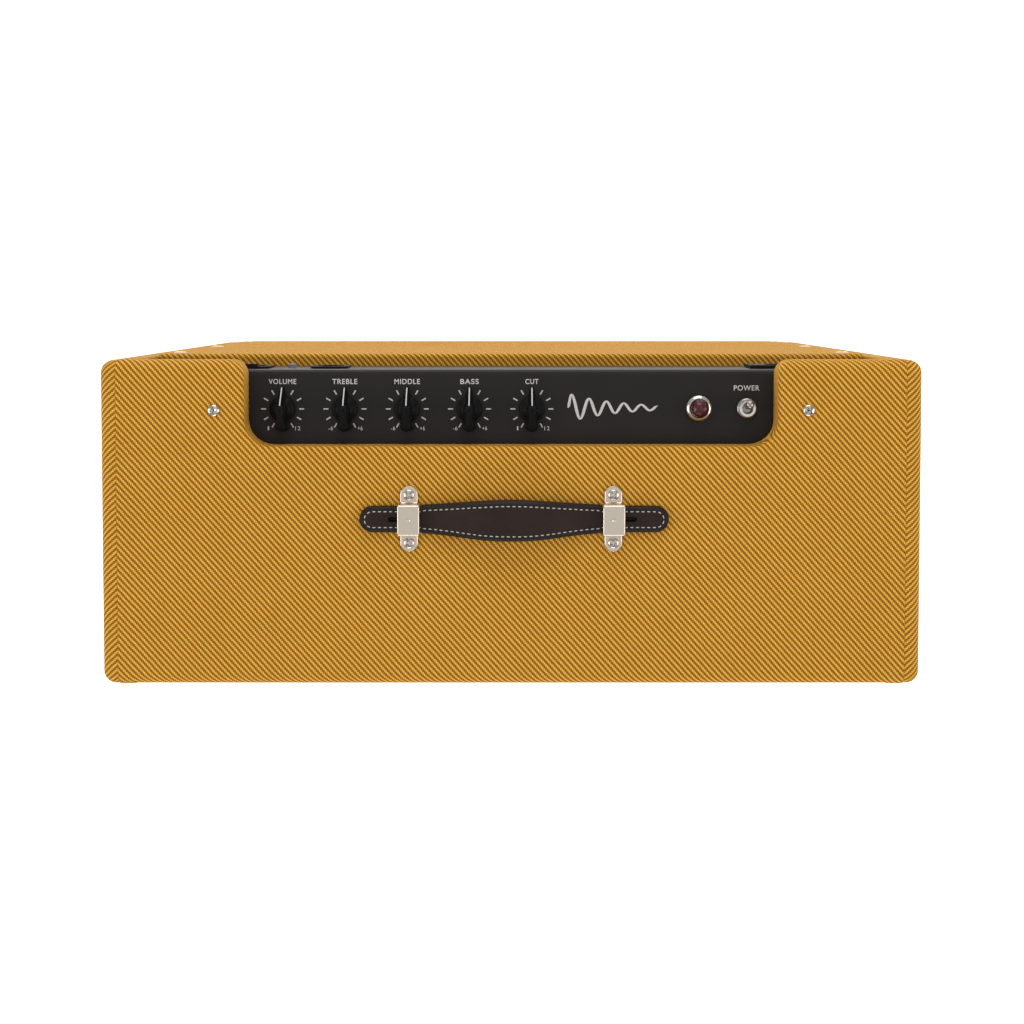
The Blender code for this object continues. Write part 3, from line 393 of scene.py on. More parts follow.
def plated_finish(name, shade, roughness):
    """Plated metal with handling marks: the gloss changes in faint smears."""
    finish = Finish(name, metallic=1.0, base_color=shade)
    smear = finish.noise(finish.place(), 220, 4, 0.65)
    finish.set("Roughness", roughness + smear * 0.16)
    finish.bump(finish.noise(finish.place(), 900, 3), 0.01 * MM, 0.15)
    return finish.material


def moulded_finish(name, low, high, roughness, gloss=0.35):
    """Moulded plastic or rubber: a slight flow pattern and a fine grain."""
    finish = Finish(name, specular_ior_level=gloss)
    flow = finish.noise(finish.place(), 90, 3)
    grain = finish.noise(finish.place(), 3200, 2)
    finish.set("Base Color", finish.mix(flow, low, high))
    finish.set("Roughness", roughness + grain * 0.12)
    finish.bump(grain, 0.015 * MM, 0.5)
    return finish.material


def leather_finish():
    """Dyed strap leather: pebbled grain, creases, and an edge painted black past the stitching."""
    look = bpy.context.scene.amplifier_leather
    finish = Finish("strap_leather", specular_ior_level=0.18)
    surface = finish.uv()
    inset = surface.axis(1)
    rim = 1 - inset.between(2.7 * MM, 3.1 * MM)
    edges = {"feature": "DISTANCE_TO_EDGE"}
    pebble = finish.node("ShaderNodeTexVoronoi", edges, Vector=finish.place(), Scale=1150.0)
    crease = finish.noise(finish.place(), 420, 5, 0.7)
    cloud = finish.noise(finish.place(), 60, 3)
    wear_and_shade = finish.mix(cloud.between(0.35, 0.75) * 0.4, look.face, (0.030, 0.0165, 0.013))
    finish.set("Base Color", finish.mix(rim, wear_and_shade, look.edge))
    finish.set("Roughness", 0.50 + crease * 0.14 - rim * 0.1)
    finish.bump(pebble.between(0.0, 0.25) * 0.5 + crease * 0.5, 0.09 * MM, 0.6)
    return finish.material


def thread_finish():
    """Waxed thread, with a twist along each stitch."""
    look = bpy.context.scene.amplifier_leather
    finish = Finish("waxed_thread", roughness=0.7)
    fuzz = finish.noise(finish.place(), 1800, 3)
    finish.set("Base Color", finish.mix(fuzz, look.thread, (0.36, 0.33, 0.29)))
    finish.bump(fuzz, 0.05 * MM, 0.6)
    return finish.material


def ink_finish():
    """Screen-printed ink, slightly uneven."""
    finish = Finish("panel_ink", roughness=0.6)
    wear = finish.noise(finish.place(), 1500, 3)
    finish.set("Base Color", finish.mix(wear.between(0.3, 0.7), (0.46, 0.44, 0.42), (0.58, 0.56, 0.54)))
    return finish.material


def jewel_finish():
    """Dark ruby glass over a foil: facets catch light and the depth stays nearly black."""
    finish = Finish("ruby_jewel", roughness=0.22, specular_ior_level=0.3)
    finish.set("Coat Weight", 0.25).set("Coat Roughness", 0.12)
    spot = finish.noise(finish.place(), 700, 3).between(0.35, 0.65)
    finish.set("Base Color", finish.mix(spot, (0.022, 0.0014, 0.003), (0.10, 0.005, 0.012)))
    return finish.material


def wood_finish():
    """Plywood and pine: stretched grain."""
    finish = Finish("bare_wood", roughness=0.7)
    spread = finish.node("ShaderNodeMapping", {}, finish.place(), Scale=(14, 14, 1.2))
    grain = finish.noise(spread, 9, 5, 0.6)
    finish.set("Base Color", finish.mix(grain.between(0.3, 0.7), (0.42, 0.26, 0.13), (0.62, 0.45, 0.26)))
    finish.bump(grain, 0.2 * MM, 0.4)
    return finish.material


def board_finish():
    """Solder mask over fine copper lines."""
    finish = Finish("circuit_board", roughness=0.4)
    lines = finish.node("ShaderNodeTexBrick", {}, finish.place(), Scale=160.0)
    finish.set("Base Color", finish.mix(0.25, (0.010, 0.085, 0.028), lines, "MULTIPLY"))
    return finish.material


def paper_finish():
    """Pressed paper pulp with a coarse fleck."""
    finish = Finish("cone_paper", roughness=0.9)
    fleck = finish.noise(finish.place(), 500, 4, 0.7)
    finish.set("Base Color", finish.mix(fleck, (0.016, 0.016, 0.017), (0.05, 0.05, 0.052)))
    finish.bump(fleck, 0.1 * MM, 0.6)
    return finish.material


PHENOLIC_LOW, PHENOLIC_HIGH = (0.0032, 0.0032, 0.0034), (0.0055, 0.0055, 0.0058)
FINISHES = {}
MAKERS = {
    "tweed": (tweed_finish,),
    "grille": (grille_finish,),
    "enamel": (satin_black_finish,),
    "nickel": (plated_finish, "nickel_plate", (0.645, 0.57, 0.475), 0.2),
    "bright": (plated_finish, "bright_chrome", (0.60, 0.555, 0.50), 0.12),
    # Painted shade: a darker copy of the nickel plate, standing in for the darker reflections on the power
    # switch.
    "wear_and_shade": (plated_finish, "worn_nickel", (0.34, 0.31, 0.275), 0.22),
    "sheet": (plated_finish, "plain_aluminium", (0.72, 0.73, 0.74), 0.32),
    "phenolic": (moulded_finish, "black_phenolic", PHENOLIC_LOW, PHENOLIC_HIGH, 0.42, 0.1),
    "nylon": (moulded_finish, "black_nylon", (0.006, 0.006, 0.006), (0.011, 0.011, 0.011), 0.5, 0.12),
    "rubber": (moulded_finish, "black_rubber", (0.014, 0.014, 0.014), (0.026, 0.026, 0.026), 0.8),
    "white": (moulded_finish, "white_line", (0.44, 0.43, 0.41), (0.52, 0.51, 0.49), 0.45),
    "grey": (moulded_finish, "grey_nylon", (0.16, 0.17, 0.19), (0.22, 0.23, 0.25), 0.4),
    "leather": (leather_finish,),
    "thread": (thread_finish,),
    "ink": (ink_finish,),
    "jewel": (jewel_finish,),
    "wood": (wood_finish,),
    "board": (board_finish,),
    "paper": (paper_finish,),
}


def finish_for(name):
    """The material of that finish, made the first time that it is asked for."""
    if name not in FINISHES:
        maker, *values = MAKERS[name]
        FINISHES[name] = maker(*values)
    return FINISHES[name]


# ---------------------------------------------------------------- surfaces
def quads(rows, columns, around=False):
    """Corner numbers of the quads of a grid; with around, the last column joins the first."""
    i = np.arange(rows - 1)[:, None] * columns
    j = np.arange(columns if around else columns - 1)[None, :]
    k = (j + 1) % columns
    return np.stack([i + j, i + k, i + columns + k, i + columns + j], -1).reshape(-1, 4)


def read(items, key, size=3):
    """One property of all of a mesh's items, as an array."""
    values = np.empty(len(items) * size, np.float32)
    items.foreach_get(key, values)
    return values.reshape(-1, size).astype(float)


def write(items, key, values):
    """Puts an array into one property of all of a mesh's items."""
    items.foreach_set(key, np.asarray(values, np.float32).ravel())


def shape(name, points, faces, finish, surface=None, angle=40, weld=True, weighted=False):
    """A mesh from arrays: points, faces as arrays of corner numbers, and a 'surface' UV per point."""
    mesh = bpy.data.meshes.new(name)
    corners = [face for block in faces for face in np.asarray(block).tolist()]
    mesh.from_pydata(np.asarray(points).reshape(-1, 3).tolist(), [], corners)
    if surface is not None:
        layer = mesh.uv_layers.new(name="surface")
        index = np.empty(len(mesh.loops), int)
        mesh.loops.foreach_get("vertex_index", index)
        write(layer.data, "uv", np.asarray(surface, float).reshape(-1, 2)[index])
    work = bmesh.new()
    work.from_mesh(mesh)
    if weld:
        bmesh.ops.remove_doubles(work, verts=work.verts, dist=1e-6)
    bmesh.ops.recalc_face_normals(work, faces=work.faces)
    if work.calc_volume(signed=True) < 0:
        bmesh.ops.reverse_faces(work, faces=work.faces)
    work.to_mesh(mesh)
    work.free()
    return settle(name, mesh, finish, angle, weighted)


def settle(name, mesh, finish, angle=40, weighted=False):
    """Puts a finished mesh into the scene with its material and its shading."""
    obj = bpy.data.objects.new(name, mesh)
    bpy.context.scene.collection.objects.link(obj)
    mesh.materials.clear()
    mesh.materials.append(finish_for(finish))
    mesh.shade_smooth()
    mesh.set_sharp_from_angle(angle=math.radians(angle))
    if weighted:
        flat = obj.modifiers.new("flat_faces", "WEIGHTED_NORMAL")
        flat.keep_sharp = True
    return obj


def rides(obj, body, slot, *nodes):
    """Says which body a piece moves with, and hides the frame nodes that it stands for; its slot is not used.
    """
    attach(obj, body)
    if nodes:
        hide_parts(*nodes)
    return obj


def fitted(name, surface, finish, slot, *nodes, body="root", place=None, angle=40):
    """A piece made of (points, faces): put at place, and given its finish, body and frame nodes; its slot is
    not used.
    """
    points, faces = surface
    if place is not None:
        points = moved(points, place)
    return rides(shape(name, points, faces, finish, angle=angle), body, slot, *nodes)


def unit(vectors):
    """The same directions, each of length 1."""
    return vectors / np.linalg.norm(vectors, axis=-1, keepdims=True)


def left_of(headings):
    """Flat directions turned a quarter turn to the left."""
    return np.stack([-headings[..., 1], headings[..., 0]], -1)


def lengths(path):
    """How far along a path each of its points is."""
    return np.concatenate([[0], np.cumsum(np.linalg.norm(np.diff(path, axis=0), axis=1))])


def sample(path, run, at):
    """Points of a path at the given distances along it."""
    return np.stack([np.interp(at, run, path[:, k]) for k in range(path.shape[1])], -1)


def circle(steps):
    """The angles of equal steps round a circle."""
    return np.linspace(0, 2 * math.pi, steps, endpoint=False)


def corner(before, here, after, radius, steps):
    """An arc tangent to both sides of a corner, and the directions to the right of the path along it.

    The arc starts radius * tan(turn / 2) before the corner. Its directions are right * cos(a) + into *
    sin(a), with a going from 0 to the turn.
    """
    before, here, after = (np.asarray(point, float) for point in (before, here, after))
    into, out = unit(here - before), unit(after - here)
    turn = math.atan2(into[0] * out[1] - into[1] * out[0], float(into @ out))
    right = -left_of(into)
    start = here - into * radius * math.tan(abs(turn) / 2)
    a = np.linspace(0, turn, steps)[:, None]
    turned = right * np.cos(a) + into * np.sin(a)
    return start + (turned - right) * radius * math.copysign(1, turn), turned


def rounded(corners, radii, steps=10):
    """A closed outline with each corner turned into an arc tangent to its two sides.

    Returns the points, their outward normals and, per point, the corner it came from and how far round
    that corner it is. The outline runs anticlockwise, and a corner may turn either way.
    """
    around = [corners[-1], *corners, corners[0]]
    arcs = [corner(*around[i:i + 3], radius, steps) for i, radius in enumerate(radii)]
    points, normals = (np.concatenate(block) for block in zip(*arcs))
    share = np.tile(np.linspace(0, 1, steps), len(radii))
    return points, normals, np.repeat(np.arange(len(radii)), steps), share


def slab(outline, normals, thickness, top_radius, bottom_radius):
    """Rings of a flat board whose edges are rounded, and its surface unrolled.

    From the top face outwards each ring is inset by r(1 - sin a) and lowered by r(1 - cos a), a quarter
    turn in all; then the wall; then the same quarter turn under it with the bottom radius. The unrolled
    place of a point is where it would lie if the cloth were pulled flat: outline point, minus the radius
    along the normal, plus the distance run along the normal.
    """
    top = np.broadcast_to(np.asarray(top_radius, float), (len(outline),))[None, :]
    low = np.broadcast_to(np.asarray(bottom_radius, float), (len(outline),))[None, :]
    a = np.linspace(0, QUARTER, 8)[:, None]
    inset = np.concatenate([top * (1 - np.sin(a)), low * (1 - np.cos(a))])
    drop = np.concatenate([top * (1 - np.cos(a)), thickness - low * (1 - np.sin(a))])
    run = np.concatenate([top * a, top * QUARTER + thickness - top - low + low * a])
    plan = outline[None] - normals[None] * inset[..., None]
    points = np.concatenate([plan, -drop[..., None]], -1)
    unrolled = outline[None] + normals[None] * (run - top)[..., None]
    return points, unrolled


def ring_faces(rings, count):
    """Quads between rings of equal count, and one face over each end."""
    last = (rings - 1) * count
    return [quads(rings, count, True), [list(range(count))], [list(range(last, last + count))[::-1]]]


def lathe(radii, heights, steps=32):
    """A turned surface: each radius of the profile is carried round +Z at its height."""
    radii, heights = np.asarray(radii, float)[:, None], np.asarray(heights, float)[:, None]
    a = circle(steps)
    points = np.stack([radii * np.cos(a), radii * np.sin(a), heights + 0 * a], -1)
    return points, [quads(len(radii), steps, True)]


def moved(points, matrix):
    """Points carried by a matrix."""
    turn = np.array(matrix.to_3x3())
    return np.asarray(points) @ turn.T + np.array(matrix.translation)


def facing(axis, centre):
    """The matrix that puts local +Z along axis, at centre."""
    turn = Vector(axis).to_track_quat("Z", "Y").to_matrix().to_4x4()
    return Matrix.Translation(centre) @ turn


def smoothstep(x):
    """0 below 0, 1 above 1, and 3x^2 - 2x^3 between them."""
    x = np.clip(x, 0, 1)
    return x * x * (3 - 2 * x)


def joined(parts):
    """Several (points, faces) into one, with the corner numbers moved along."""
    points, faces, offset = [], [], 0
    for part_points, part_faces in parts:
        points.append(np.asarray(part_points).reshape(-1, 3))
        faces += [np.asarray(block) + offset for block in part_faces]
        offset += len(points[-1])
    return np.concatenate(points), faces


# ---------------------------------------------------------------- tweed covering
LAP_SLOPE = 1.2 * MM
SHARP = math.radians(40)


def cabinet():
    """The cabinet's sizes."""
    return bpy.context.scene.amplifier_cabinet


def front_top_y():
    """Where the front is at the top."""
    return REAR_Y - cabinet().top_depth


def lean():
    """How far the front moves back for each metre of height."""
    foot = CAD_BOUNDS[0][1]
    return (front_top_y() - foot) / (TOP_Z - BASE_Z)


def leaned(points):
    """Moves everything in front of the middle forwards as it goes down, as the front leans."""
    shift = lean() * (points[..., 2] - TOP_Z) * (points[..., 1] < 0)
    points[..., 1] += shift
    return points, shift


def top_surface():
    """The whole top board as rings: a rounded rectangle with the recess let into its back edge."""
    c = cabinet()
    front = front_top_y()
    corners = [
        (-HALF, front),
        (HALF, front),
        (HALF, REAR_Y),
        (c.recess_half, REAR_Y),
        (c.recess_half, c.recess_front),
        (-c.recess_half, c.recess_front),
        (-c.recess_half, REAR_Y),
        (-HALF, REAR_Y),
    ]
    r, flare, inner = c.edge_radius, c.recess_flare, c.recess_corner
    outline, normals, owner, share = rounded(corners, [r, r, r, flare, inner, inner, flare, r])
    front_right, flare_right, inner_right, inner_left, flare_left = 1, 3, 4, 5, 6
    wide, tight = c.edge_radius, c.recess_edge
    edge = np.where((owner == inner_right) | (owner == inner_left), tight, wide)
    edge = np.where(owner == flare_right, wide + (tight - wide) * smoothstep(share), edge)
    edge = np.where(owner == flare_left, tight + (wide - tight) * smoothstep(share), edge)
    opening = HALF - WALL
    x = np.array([-opening, -opening + c.inner_radius, opening - c.inner_radius, opening])
    after = int(np.argmax(owner == front_right))
    outline = np.insert(outline, after, np.column_stack([x, np.full(4, front)]), axis=0)
    normals = np.insert(normals, after, np.tile([0.0, -1.0], (4, 1)), axis=0)
    edge = np.insert(edge, after, np.full(4, wide))
    lower = np.zeros(len(outline))
    lower[after + 1:after + 3] = c.inner_radius
    points, unrolled = slab(outline, normals, WALL, edge, lower)
    points[..., 2] += TOP_Z
    points, shift = leaned(points)
    unrolled[..., 1] += shift
    return points, unrolled


def cut_top(name, cuts):
    """The rounded top board, cut at planes across X.

    A cut (x, keep) keeps the side that keep points to, closed again; with keep 0 both sides stay.
    """
    points, unrolled = top_surface()
    obj = shape(name, points, ring_faces(*points.shape[:2]), "tweed", unrolled, weighted=True)
    work = bmesh.new()
    work.from_mesh(obj.data)
    for x, keep in cuts:
        plane = {"plane_co": (x, 0, 0), "plane_no": (keep or 1, 0, 0), "clear_inner": keep != 0}
        geometry = work.verts[:] + work.edges[:] + work.faces[:]
        bmesh.ops.bisect_plane(work, geom=geometry, dist=1e-7, **plane)
        if keep:
            bmesh.ops.holes_fill(work, edges=[edge for edge in work.edges if edge.is_boundary], sides=0)
    work.to_mesh(obj.data)
    work.free()
    return obj


def tweed_top():
    """The top cloth between the two seams, doubled beside them, and the side cloth beyond them.

    The side cloth runs on over the edge: u goes by the place along Y, and v goes on from the side's height
    through the length of the rounded edge.
    """
    c = cabinet()
    seam = HALF - c.seam_inset
    insets = (c.seam_lap, c.seam_lap + LAP_SLOPE)
    folds = [(side * (seam - inset), 0) for side, _ in HANDS for inset in insets]
    top = cut_top("tweed_top", [(side * seam, -side) for side, _ in HANDS] + folds)
    raise_laps(top.data, seam)
    top.data.set_sharp_from_angle(angle=SHARP)
    rides(top, "root", "tweed_covered_pine", "cab_top_board")
    over_edge = TOP_Z + HALF + c.edge_radius * (QUARTER - 2)
    for side, hand in HANDS:
        end = cut_top(f"tweed_top_{hand}", [(side * seam, side)])
        layer = end.data.uv_layers["surface"]
        u, v = read(layer.data, "uv", 2).T
        write(layer.data, "uv", np.stack([side * v, over_edge - side * u], -1))
        end.data.set_sharp_from_angle(angle=SHARP)
        rides(end, "root", "tweed_covered_pine")


def raise_laps(mesh, seam):
    """Lifts the cloth beside both seams, where it is doubled, with a short slope on the inner side.

    A point moves by the lap's height along its normal, less the normal's part along X, times a rise that
    grows from 0 to 1 over the slope. The underside stays.
    """
    c = cabinet()
    points, normals = read(mesh.vertices, "co"), read(mesh.vertices, "normal")
    rise = np.clip((np.abs(points[:, 0]) - (seam - c.seam_lap - LAP_SLOPE)) / LAP_SLOPE, 0, 1)
    normals[:, 0] = 0
    size = np.linalg.norm(normals, axis=1)
    lifted = (rise > 0) & (points[:, 2] > TOP_Z - WALL + 1 * MM) & (size > 0.1)
    points[lifted] += unit(normals[lifted]) * c.lap_height * rise[lifted][:, None]
    write(mesh.vertices, "co", points)
    mesh.update()


def wall_section():
    """The wall cut across: offsets outwards from the outer face and places along Y, unrolled length last."""
    c = cabinet()
    front = front_top_y()
    corners = [(-WALL, REAR_Y), (-WALL, front), (0, front), (0, REAR_Y)]
    radii = [1.5 * MM, c.inner_radius, c.edge_radius, c.edge_radius]
    section, _, owner, _ = rounded(corners, radii, 8)
    start = int(np.argmax(owner == 1))
    section = np.roll(section, 1 - start, axis=0)
    section = np.concatenate([section, section[:1]])
    run = lengths(section)
    outer = int(np.argmax(section[:, 0] > -1e-6))
    return section, run - run[outer] + section[outer, 1]


def wall_sweep(name, outer, inner, v, u_sign=1, along_x=False):
    """The wall's section carried along two paths in XZ, its outer face and the matching inner points.

    A point is the outer path plus the section's offset times (outer - inner) / wall thickness, so the
    inner corner stays square where the outer one is rounded.
    """
    section, run = wall_section()
    outward = (outer - inner) / WALL
    plan = outer[:, None, :] + outward[:, None, :] * section[:, 0][None, :, None]
    y = np.broadcast_to(section[:, 1][None, :], plan.shape[:2])
    points = np.stack([plan[..., 0], y, plan[..., 1]], -1)
    points, shift = leaned(points)
    q = run[None, :] + shift
    if along_x:
        surface = np.stack([points[..., 0], -q], -1)
    else:
        surface = np.stack([u_sign * q, np.broadcast_to(v[:, None], q.shape)], -1)
    rows, count = q.shape
    last = (rows - 1) * count
    faces = [quads(rows, count), [list(range(count - 1))], [list(range(last, last + count - 1))]]
    return shape(name, points, faces, "tweed", surface, weighted=True)


def tweed_sides():
    """Side cloth from under the top board, round the lower edge, to the seam underneath."""
    c = cabinet()
    radius = c.edge_radius
    edge, inside, floor_z = HALF - c.seam_inset, HALF - WALL, BASE_Z + WALL
    a = np.linspace(0, QUARTER, 9)
    for side, hand in HANDS:
        arc = np.stack([HALF - radius + radius * np.cos(a), BASE_Z + radius - radius * np.sin(a)], -1)
        outer = np.concatenate([[[HALF, TOP_Z - WALL], [HALF, floor_z]], arc, [[edge, BASE_Z]]])
        inner = np.full(outer.shape, (inside, floor_z))
        inner[0, 1] = TOP_Z - WALL
        v = TOP_Z - WALL - lengths(outer)
        mirror = np.array([side, 1])
        obj = wall_sweep(f"tweed_side_{hand}", outer * mirror, inner * mirror, v, side)
        rides(obj, "root", "tweed_covered_pine", f"cab_side_{hand}")
    outer = np.array([[-edge, BASE_Z], [-inside, BASE_Z], [inside, BASE_Z], [edge, BASE_Z]])
    inner = np.array([[-inside, floor_z], [-inside, floor_z], [inside, floor_z], [inside, floor_z]])
    obj = wall_sweep("tweed_bottom", outer, inner, outer[:, 0], along_x=True)
    rides(obj, "root", "tweed_covered_pine", "cab_bottom_board")


def back_panel():
    """The covered back panel: a slab seen from behind, its cloth running on over its edges."""
    low, high = BACK_LOW, BACK_HIGH
    corners = [(-high.x, low.z), (-low.x, low.z), (-low.x, high.z), (-high.x, high.z)]
    outline, normals, _, _ = rounded(corners, [3 * MM] * 4, 6)
    points, unrolled = slab(outline, normals, high.y - low.y, 2.6 * MM, 1.5 * MM)
    world = np.stack([-points[..., 0], high.y + points[..., 2], points[..., 1]], -1)
    rings, count = points.shape[:2]
    obj = shape("tweed_back_panel", world, ring_faces(rings, count), "tweed", unrolled, weighted=True)
    rides(obj, "root", "tweed_covered_panel", "back_panel")


class AMPLIFIER_OT_covering(bpy.types.Operator):
    """Tweed over the boards: top with its recess, sides, bottom and back panel"""

    bl_idname = "amplifier.covering"
    bl_label = "Tweed covering"

    def execute(self, context):
        tweed_top()
        tweed_sides()
        back_panel()
        return {"FINISHED"}


# ---------------------------------------------------------------- strap handle
STRAP_SPLIT = 35 * MM
SLOT_NEAR = 58 * MM
SLOT_FAR = 73.6 * MM
SLOT_HALF = 1.42 * MM
SLOT_DEPTH = 3.2 * MM
SHOULDER = 0.6 * MM
GROOVE = 0.45 * MM
TOP_SHARES = (1, 0.985, 0.95, 0.9, 0.84, 0.77, 0.71, 0.66, 0.61, 0.56, 0.48, 0.36, 0.24, 0.185, 0.16, 0.08)
UNDER_SHARES = (1, 0.97, 0.9, 0.5, 0)
UNDER_RISE = (0.9, 0.3, 0, 0, 0)


def strap_sizes():
    """The strap's sizes."""
    return bpy.context.scene.amplifier_strap


def both_ways(values, sign=1):
    """The values from one edge to the middle, then back out with the sign changed."""
    values = np.asarray(values, float)
    return np.concatenate([values, sign * values[-2::-1]])


def end_centre(x):
    """How far out the centre of the strap's rounded end is, on the side that x is on."""
    s = strap_sizes()
    return s.reach + s.overhang * (np.asarray(x) > 0) - s.end_half


def strap_plan(x):
    """Half the strap's width, and where its underside and top are, at a place x along it.

    The width grows by a smoothstep from the caps to the middle; beyond the centre of the rounded end it
    is the half chord of a circle. The underside and the top follow the same kind of curve.
    """
    s = strap_sizes()
    centre = end_centre(x)
    x = np.abs(np.asarray(x, float))
    swell = smoothstep((60 * MM - x) / (58 * MM))
    step = smoothstep((55.5 * MM - x) / (3 * MM)) * SHOULDER
    half = s.end_half + step + (s.grip_half - s.end_half - SHOULDER) * swell
    past = x - centre
    chord = np.sqrt(np.clip(s.end_half**2 - np.maximum(past, 0) ** 2, 0, None))
    half = np.where(past > 0, chord, half)
    rise = smoothstep((54 * MM - x) / (44 * MM))
    low = TAB_LOW.z + (GRIP_LOW.z + s.arch - TAB_LOW.z) * rise
    high = TAB_HIGH.z + (GRIP_HIGH.z + s.arch - TAB_HIGH.z) * rise
    return half, low, high


def edge_distance(x, y):
    """How far a point is inside the strap's outline."""
    s = strap_sizes()
    half, _, _ = strap_plan(x)
    past = np.abs(x) - end_centre(x)
    around = s.end_half - np.hypot(np.maximum(past, 0), y)
    return np.clip(np.where(past > 0, around, half - np.abs(y)), 0, None)


def strap_top(x, y):
    """Height of the strap's top: a rolled edge, a crown across, and a groove along the stitching."""
    s = strap_sizes()
    half, low, high = strap_plan(x)
    d = edge_distance(x, y)
    share = np.clip(d / s.edge, 0, 1)
    roll = s.edge * np.sqrt(1 - (1 - share) ** 2)
    crown = 0.12 * (high - low)
    across = np.clip(1 - (y / np.maximum(half, 1e-6)) ** 2, 0, 1)
    groove = GROOVE * np.exp(-(((d - s.stitch_inset) / (0.5 * MM)) ** 2))
    return high - s.edge + roll - crown * (1 - across) - groove


def strap_piece(name, places):
    """A closed length of strap: cross sections at the given places along X, over the top and back under.

    The buttonhole near the end is a groove with straight sides. The second surface coordinate is how far a
    point is inside the outline, and it drops in the buttonhole and underneath, which are painted as the edge.
    """
    s = strap_sizes()
    share = np.concatenate([-np.array(TOP_SHARES), [0], TOP_SHARES[::-1]])
    x = np.asarray(places, float)[:, None]
    half, low, _ = (np.asarray(value)[:, None] for value in strap_plan(x[:, 0]))
    y = half * share
    wide = np.broadcast_to(x, y.shape)
    slot_reach = np.maximum(np.abs(wide) - SLOT_FAR - 0.4 * s.overhang * (wide > 0), 0)
    slot = smoothstep((SLOT_HALF - np.hypot(slot_reach, y)) / (0.25 * MM)) * (np.abs(wide) > SLOT_NEAR)
    z = strap_top(wide, y) - slot * SLOT_DEPTH
    tone = edge_distance(wide, y) - slot * 4 * MM
    under_y = half * both_ways(UNDER_SHARES, -1)
    under_z = low + both_ways(UNDER_RISE) * MM
    ring_y = np.concatenate([y, under_y], 1)
    ring_x = np.broadcast_to(x, ring_y.shape)
    points = np.stack([ring_x, STRAP_Y + ring_y, np.concatenate([z, under_z], 1)], -1)
    surface = np.stack([ring_x, np.concatenate([tone, 0 * under_y], 1)], -1)
    obj = shape(name, points, ring_faces(*ring_y.shape), "leather", surface, angle=50)
    strap_rides(obj)
    return obj


def strap_rides(obj):
    """Bakes a piece of strap's placement into its points."""
    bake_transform(obj)


def stitch_line(side):
    """Places and headings of the stitches on one half, along the outline moved inwards."""
    s = strap_sizes()
    centre = float(end_centre(side))
    x = np.linspace(0, centre, 200)
    y = strap_plan(side * x)[0] - s.stitch_inset
    a = np.linspace(0, math.pi, 60)[1:-1]
    r = s.end_half - s.stitch_inset
    out, back = np.stack([x, y], -1), np.stack([x, -y], -1)[::-1]
    loop = np.concatenate([out, np.stack([centre + r * np.sin(a), r * np.cos(a)], -1), back])
    run = lengths(loop)
    count = int(run[-1] / s.stitch_pitch)
    at = (np.arange(count) + 0.5) * run[-1] / count
    place = sample(loop, run, at)
    heading = unit(sample(loop, run, at + 0.3 * MM) - place)
    mirror = np.array([side, 1])
    return place * mirror, heading * mirror


def stitches(name, place, heading):
    """Each stitch is a bead that is thickest in the middle and sinks into the leather at both ends.

    At t from -1 to 1 along a stitch its radius is 0.36 mm * sqrt(1.02 - t^4), and its middle line stands
    0.42 mm - 0.5 mm * t^4 above the leather.
    """
    s = strap_sizes()
    t = np.linspace(-1, 1, 9)
    a = circle(8)
    radius = 0.36 * MM * np.sqrt(1.02 - t**4)[:, None]
    lateral, rise = radius * np.cos(a), radius * np.sin(a)
    blocks = []
    for (px, py), (hx, hy), (sx, sy) in zip(place, heading, left_of(heading)):
        x = px + hx * t * s.stitch_length / 2
        y = py + hy * t * s.stitch_length / 2
        z = strap_top(x, y) + 0.42 * MM - 0.5 * MM * t**4
        ring = [x[:, None] + sx * lateral, STRAP_Y + y[:, None] + sy * lateral, z[:, None] + rise]
        blocks.append((np.stack(ring, -1), ring_faces(len(t), len(a))))
    points, faces = joined(blocks)
    strap_rides(shape(name, points, faces, "thread", angle=60))


def strap():
    """Four lengths of strap and their stitching."""
    s = strap_sizes()
    a = np.linspace(0, QUARTER, 16)
    inner = np.linspace(0, STRAP_SPLIT, 36)
    for sign, hand in HANDS:
        centre = float(end_centre(sign))
        outer = np.concatenate([np.linspace(STRAP_SPLIT, centre, 88)[:-1], centre + s.end_half * np.sin(a)])
        end_piece = strap_piece(f"strap_end_{hand}", sign * outer)
        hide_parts(f"strap_tab_{hand}", f"strap_link_{hand}")
        middle_piece = strap_piece(f"strap_grip_{hand}", sign * inner)
        if sign < 0:
            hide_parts("strap_grip")
        place, heading = stitch_line(sign)
        far = np.abs(place[:, 0]) > STRAP_SPLIT
        stitches(f"strap_stitches_end_{hand}", place[far], heading[far])
        stitches(f"strap_stitches_grip_{hand}", place[~far], heading[~far])


def folded_path(corners, radii, steps=7):
    """An open path with its inner corners turned into arcs, as a strip of metal is bent."""
    arcs = [corner(*corners[i:i + 3], radius, steps)[0] for i, radius in enumerate(radii)]
    return np.concatenate([corners[:1], *arcs, corners[-1:]])


def refined(path, step):
    """The same path with points no further apart than step."""
    run = lengths(path)
    at = np.unique(np.concatenate([run, np.arange(0, run[-1], step)]))
    return sample(path, run, at[np.concatenate([[True], np.diff(at) > 1e-6])])


